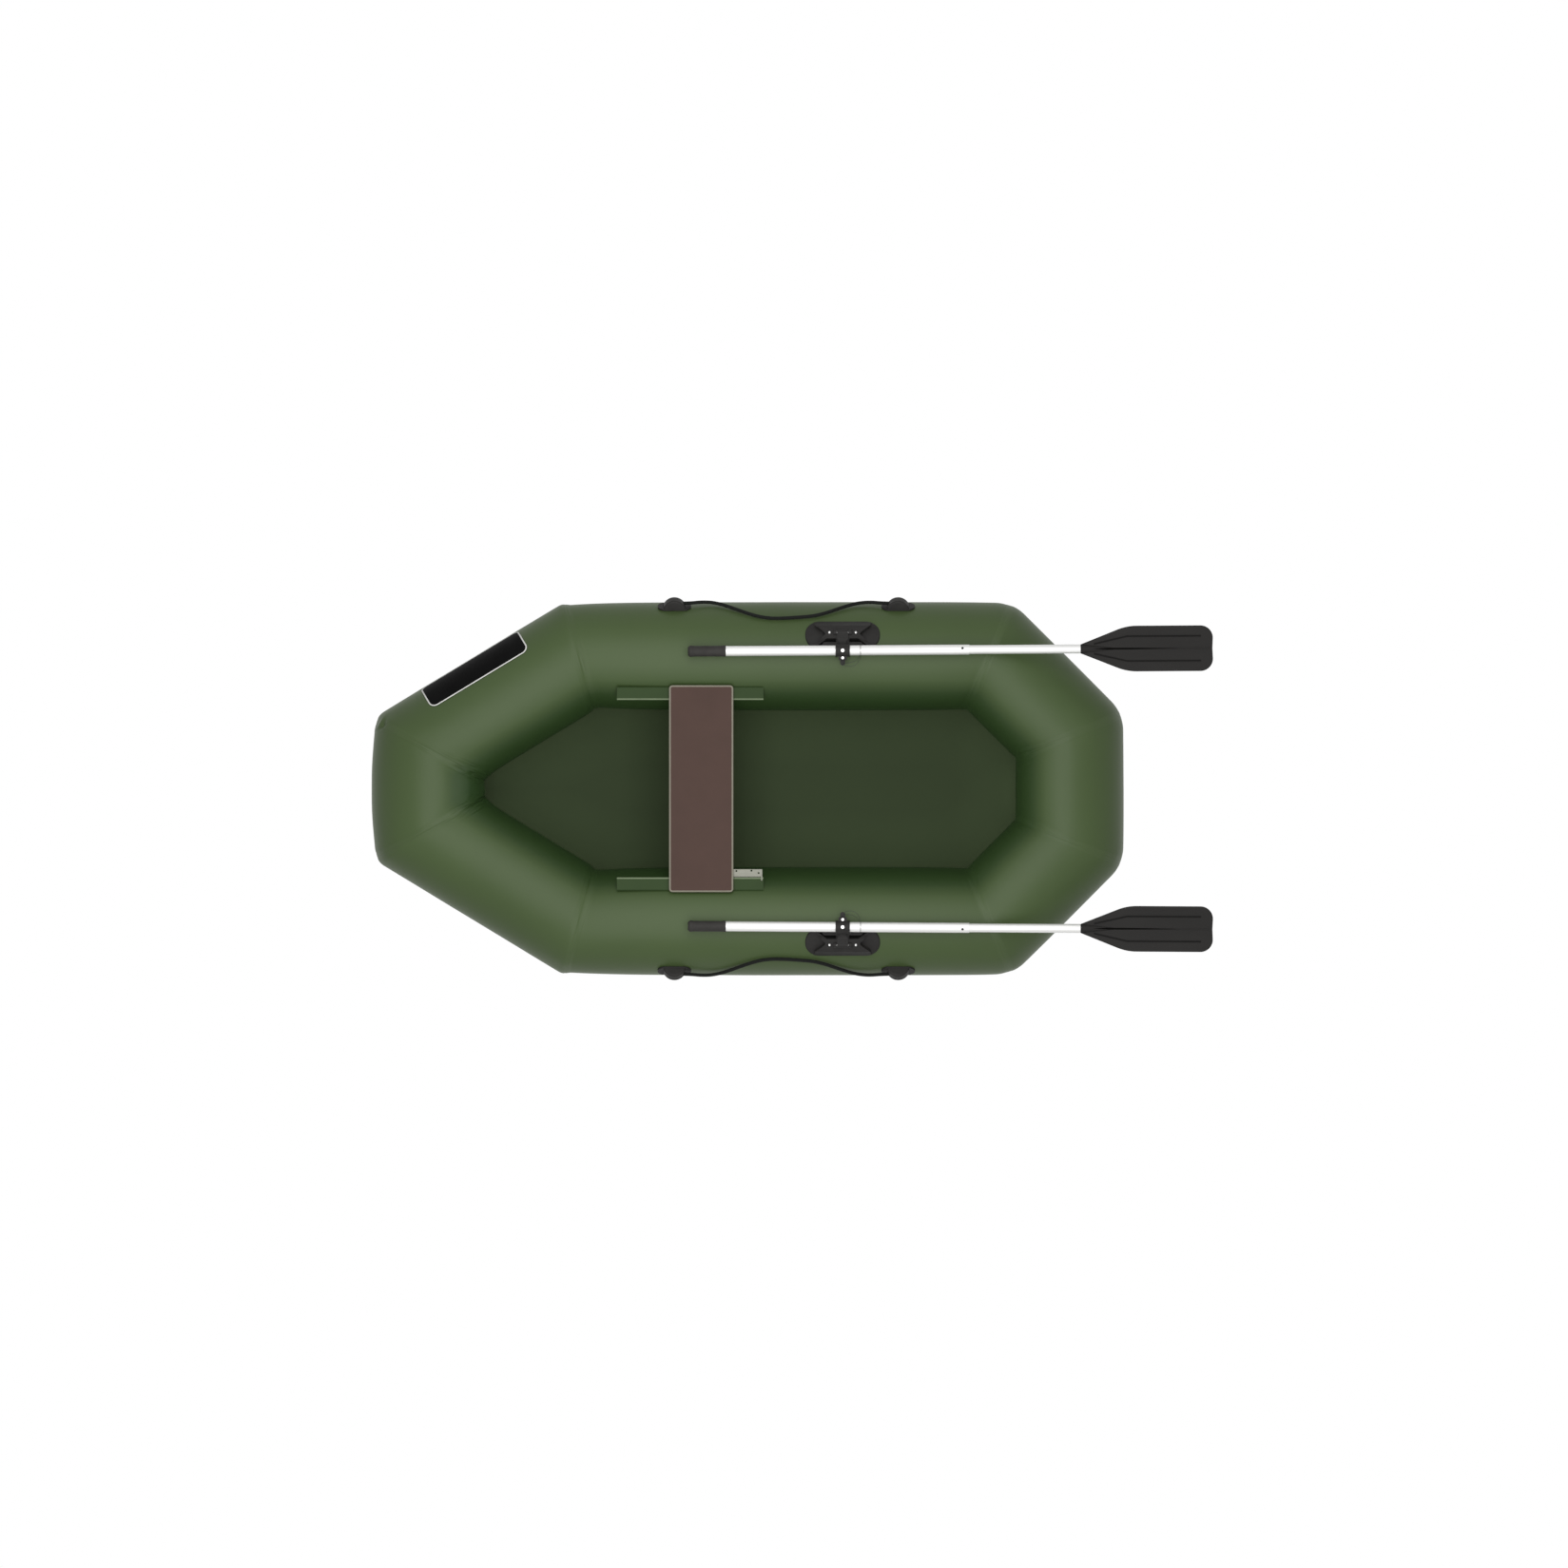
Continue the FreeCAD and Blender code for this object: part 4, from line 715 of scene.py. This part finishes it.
# The blade: half its plate's thickness, half its ridge's width, the groove's half width and the height of
# its floor, and where the blade starts.
BLADE_FACE = 0.0025
RIDGE_ASIDE = 0.009
GROOVE_HALF = 0.0027
GROOVE_FLOOR = 0.0015
BLADE_START_X = LOCK_X - 0.633
FACE_MARGIN = 0.0002
# Faces this steep count as walls, and those whose normals agree this well count as facing one way.
STEEP = 0.2
FACING = 0.9
LEVEL = 0.95


def oar_axes(hand):
    """The swivel's middle, and the directions ahead along an oar and outboard of it."""
    middle = Vector((SWIVEL.x, hand * SWIVEL.y, SWIVEL.z))
    ahead = Vector((math.cos(OAR_TOE), -hand * math.sin(OAR_TOE), 0))
    outboard = Vector((math.sin(OAR_TOE), hand * math.cos(OAR_TOE), 0))
    return middle, ahead, outboard


def across_oar(hand, place):
    """How far a place lies outboard of the oar's line, and how far above or below it."""
    middle, _, outboard = oar_axes(hand)
    offset = place - middle
    return offset.dot(outboard), abs(offset.z)


def on_oar(hand, along, aside, up):
    """A place given along the oar, outboard of its line and above it."""
    middle, ahead, outboard = oar_axes(hand)
    return middle + ahead * along + outboard * aside + Vector((0, 0, up))


def shade_housing(housing, hand):
    """The recess floors behind the stop rail are coloured near black, a painted shade of a deep hollow."""
    housing.data.materials.append(painted_hollow_shade)
    for face in housing.data.polygons:
        out = Vector((0, face.center.y - hand * SIDE_Y, face.center.z - TUBE_R))
        if out.length < RECESS_R and face.normal.dot(out.normalized()) > FACING:
            face.material_index = 1


def shade_blade(blade, hand):
    """The ribs and the groove along the blade's ridge are coloured darker than its plate: painted shade of
    the ribs' shadow lines and of the groove.
    """
    blade.data.materials.append(blade_rib_painted_shade)
    blade.data.materials.append(painted_hollow_shade)
    for face in blade.data.polygons:
        aside, up = across_oar(hand, face.center)
        walled = abs(face.normal.z) < STEEP and face.center.x < BLADE_START_X
        if abs(aside) > RIDGE_ASIDE and up > BLADE_FACE + FACE_MARGIN:
            face.material_index = 1
        elif abs(aside) < GROOVE_HALF and (up < GROOVE_FLOOR or walled):
            face.material_index = 2


for side, hand in SIDES:
    shade_housing(nodes["lock_housing_" + side], hand)
    shade_blade(nodes["blade_" + side], hand)


# Small fittings: housing screws, the oars' spring buttons and the wire loops on the clamp tabs.

# How far the housing leans outboard, and its screws' height over the tube and distance apart. Then each
# button's place on its oar, and the shaft's radius there.
LOCK_ANGLE = math.radians(22.7)
SCREW_LIFT = 0.018
SCREW_GAP = 0.0001
SCREW_PITCH = 0.070
BUTTON_ALONG = -0.319
BUTTON_ASIDE = 0.0038
FORE_R = 0.0135
# Radii and heights of the turned pieces, from the foot up.
SCREW_PROFILE = [(0.0037, 0.0), (0.0037, 0.0006), (0.0033, 0.0012), (0.0024, 0.0017), (0.0015, 0.0019),
                 (0.0014, 0.0012), (0.0003, 0.0012)]
BUTTON_PROFILE = [(0.0033, -0.0010), (0.0033, 0.0006), (0.0029, 0.0014), (0.0020, 0.0019), (0.0004, 0.0021)]
TURNED_AROUND = 28


def turned_piece(name, profile, spot, up, material):
    """A small turned piece: radii and heights along its own axis."""
    quarter = up.to_track_quat("Z", "Y")
    around = TURNED_AROUND
    points = []
    for radius, height in profile:
        for k in range(around):
            turn = 2 * math.pi * k / around
            points.append(spot + quarter @ Vector((radius * math.cos(turn), radius * math.sin(turn), height)))
    faces = []
    for foot in range(0, (len(profile) - 1) * around, around):
        for k in range(around):
            nxt = (k + 1) % around
            faces.append((foot + k, foot + nxt, foot + around + nxt, foot + around + k))
    last = (len(profile) - 1) * around
    faces.append(tuple(range(last, last + around)))
    faces.append(tuple(range(around - 1, -1, -1)))
    return mesh_object(name, points, faces, [material])


def housing_screws(side, hand):
    normal = Vector((0, hand * math.sin(LOCK_ANGLE), math.cos(LOCK_ANGLE)))
    foot = Vector((LOCK_X, hand * SIDE_Y, TUBE_R)) + normal * (TUBE_R + SCREW_LIFT + SCREW_GAP)
    for where, slide in (("fore", 0.5), ("aft", -0.5)):
        spot = foot + Vector((slide * SCREW_PITCH, 0, 0))
        made = turned_piece(f"housing_screw_{side}_{where}", SCREW_PROFILE, spot, normal, steel)
        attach(made, "hull")


def oar_button(side, hand):
    tip = math.asin(BUTTON_ASIDE / FORE_R)
    foot = on_oar(hand, BUTTON_ALONG, FORE_R * math.sin(tip), FORE_R * math.cos(tip))
    normal = (foot - on_oar(hand, BUTTON_ALONG, 0, 0)).normalized()
    made = turned_piece(f"oar_button_{side}", BUTTON_PROFILE, foot, normal, dark_button)
    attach(made, f"oar_{side}")


# The wire's route: along the oar, outboard of its line and above it. It leaves the tab's hole upward,
# passes over and round the shaft and comes back to the hole from below.
WIRE_POINTS = [
    (0.0, -0.0335, -0.0024), (0.0, -0.0335, 0.0015), (-0.003, -0.037, 0.0030), (-0.010, -0.0425, 0.0025),
    (-0.024, -0.0435, 0.0015), (-0.038, -0.037, 0.0020), (-0.046, -0.024, 0.0050), (-0.0475, -0.015, 0.0110),
    (-0.0475, -0.005, 0.0160), (-0.0475, 0.005, 0.0160), (-0.0475, 0.0150, 0.0090), (-0.0475, 0.0165, 0.0),
    (-0.0475, 0.0150, -0.0090), (-0.0475, 0.005, -0.0160), (-0.0475, -0.005, -0.0160),
    (-0.046, -0.015, -0.0110), (-0.038, -0.026, -0.0080), (-0.022, -0.033, -0.0090),
    (-0.008, -0.0345, -0.0100), (0.0, -0.0335, -0.0085), (0.0, -0.0335, -0.0044)]
WIRE_RADIUS = 0.0006


def wire_loop(side, hand):
    places = [on_oar(hand, *place) for place in WIRE_POINTS]
    made = round_curve("keeper_wire_" + side, places, WIRE_RADIUS, 3, 8, wire_grey)
    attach(made, f"oar_{side}")


for side, hand in SIDES:
    housing_screws(side, hand)
    oar_button(side, hand)
    wire_loop(side, hand)


# Seat board: film on its two faces, bare plies round its edge.

board = dress("seat_board", seat_face)
board.data.materials.append(seat_edge)
for face in board.data.polygons:
    face.material_index = 0 if abs(face.normal.z) > LEVEL else 1


# Blank plate on the starboard bow tube: a dark film with a pale line just inside its edge.

PLATE_HALF = (0.152, 0.0555)
PLATE_CORNER = 0.020
# How far round the tube from its top the plate's middle lies.
PLATE_ANGLE = math.radians(57)
# How far in each ring of points lies. The pale line starts at the second, or the third with the foot.
PLATE_INSETS = [0.0, 0.0004, 0.0040, 0.0044, 0.012, 0.022, 0.034, 0.046]
PALE_RING = 2
PLATE_FOOT, PLATE_EDGE, PLATE_TOP = 0.0001, 0.0009, 0.0011
PLATE_CORNER_LEAST = 0.0015
CORNER_STEPS, SIDE_STEPS = 8, 16


def rounded(half, corner):
    """A rounded rectangle's outline, with points along its straight sides too."""
    spots = []
    for index, (sx, sy) in enumerate(((1, 1), (-1, 1), (-1, -1), (1, -1))):
        for step in range(CORNER_STEPS + 1):
            angle = math.pi / 2 * (index + step / CORNER_STEPS)
            spots.append((sx * (half[0] - corner) + corner * math.cos(angle),
                          sy * (half[1] - corner) + corner * math.sin(angle)))
        last = spots[-1]
        straight = (half[0] if index % 2 == 0 else half[1]) - corner
        for step in range(1, SIDE_STEPS):
            slide = 2 * straight * step / SIDE_STEPS
            spots.append((last[0] - slide * (1, 0, -1, 0)[index], last[1] - slide * (0, 1, 0, -1)[index]))
    return spots


def blank_plate():
    """The film, bent round the tube from its edge inward."""
    across = Vector((BOW_SIN, -BOW_COS, 0))
    along = Vector((BOW_COS, BOW_SIN, 0))
    middle = Vector(((BOW_X + SHOULDER_X) / 2, -(NOSE_Y + BEAM_Y) / 2, TUBE_R)) - across * TUBE_R
    points, faces, indices = [], [], []

    def spot(u, v, lift):
        angle = PLATE_ANGLE + v / TUBE_R
        out = across * math.sin(angle) + Vector((0, 0, 1)) * math.cos(angle)
        return middle + along * u + out * (TUBE_R + lift)

    rings = [(0.0, PLATE_FOOT)] + [(inset, PLATE_TOP if inset else PLATE_EDGE) for inset in PLATE_INSETS]
    for inset, lift in rings:
        half = (PLATE_HALF[0] - inset, PLATE_HALF[1] - inset)
        for u, v in rounded(half, max(PLATE_CORNER - inset, PLATE_CORNER_LEAST)):
            points.append(spot(u, v, lift))
    count = len(points) // len(rings)
    for ring in range(len(rings) - 1):
        outer, inner = ring * count, (ring + 1) * count
        for k in range(count):
            nxt = (k + 1) % count
            faces.append((outer + k, inner + k, inner + nxt, outer + nxt))
            indices.append(1 if ring == PALE_RING else 0)
    last = (len(rings) - 1) * count
    faces.append(tuple(range(last + count - 1, last - 1, -1)))
    indices.append(0)
    made = mesh_object("plate_film", points, faces, [plate_black, plate_pale], indices)
    mend = bmesh.new()
    mend.from_mesh(made.data)
    bmesh.ops.recalc_face_normals(mend, faces=mend.faces)
    mend.to_mesh(made.data)
    mend.free()
    return made


plate = blank_plate()
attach(plate, "hull")
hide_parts("blank_plate")


# World, lamp and camera

WORLD_LIGHT = 0.38
LAMP_HEIGHT = 2.9
LAMP_X = 0.1
LAMP_SIZE = (2.4, 5.2)
LAMP_POWER = 77


def background(tree, strength):
    made = tree.nodes.new("ShaderNodeBackground")
    made.inputs["Color"].default_value = (1, 1, 1, 1)
    made.inputs["Strength"].default_value = strength
    return made


def world():
    """Even light from all round. Seen straight, mirrored or through a piece, the surround is white."""
    made = bpy.data.worlds.new("pale_surround")
    scene.world = made
    made.use_nodes = True
    tree = made.node_tree
    tree.nodes.clear()
    out = tree.nodes.new("ShaderNodeOutputWorld")
    light = background(tree, WORLD_LIGHT)
    white = background(tree, 1.0)
    path = tree.nodes.new("ShaderNodeLightPath")
    seen = path.outputs["Is Camera Ray"]
    for kind in ("Is Glossy Ray", "Is Transmission Ray"):
        either = tree.nodes.new("ShaderNodeMath")
        either.operation = "MAXIMUM"
        tree.links.new(seen, either.inputs[0])
        tree.links.new(path.outputs[kind], either.inputs[1])
        seen = either.outputs[0]
    mix = tree.nodes.new("ShaderNodeMixShader")
    tree.links.new(seen, mix.inputs["Fac"])
    tree.links.new(light.outputs[0], mix.inputs[1])
    tree.links.new(white.outputs[0], mix.inputs[2])
    tree.links.new(mix.outputs[0], out.inputs["Surface"])


def area_lamp(name, spot, target, size, power):
    """An oval lamp, its size given along the boat and across it."""
    lamp = bpy.data.lights.new(name, "AREA")
    lamp.shape = "ELLIPSE"
    lamp.size, lamp.size_y = size
    lamp.energy = power
    made = bpy.data.objects.new(name, lamp)
    made.location = spot
    made.rotation_mode = "QUATERNION"
    made.rotation_quaternion = (Vector(target) - Vector(spot)).to_track_quat("-Z", "Y")
    scene.collection.objects.link(made)


world()
area_lamp("overhead", (LAMP_X, 0, LAMP_HEIGHT), (LAMP_X, 0, 0), LAMP_SIZE, LAMP_POWER)

# The camera looks straight down, from so far off that heights don't widen the plan. The picture's
# width is measured at the height of the tubes' middle.
CAMERA_HEIGHT = 100.0
IMAGE_WIDTH = 4.180
SENSOR_WIDTH = 36
PICTURE_MIDDLE = (-0.094, -0.0125)
camera = bpy.data.cameras.new("camera")
camera.sensor_width = SENSOR_WIDTH
camera.lens = SENSOR_WIDTH * (CAMERA_HEIGHT - TUBE_R) / IMAGE_WIDTH
camera.clip_start = 1
camera.clip_end = 300
camera_object = bpy.data.objects.new("camera", camera)
camera_object.location = (*PICTURE_MIDDLE, CAMERA_HEIGHT)
camera_object.rotation_euler = (0, 0, math.pi)
scene.collection.objects.link(camera_object)
scene.camera = camera_object
scene.view_settings.view_transform = "Standard"
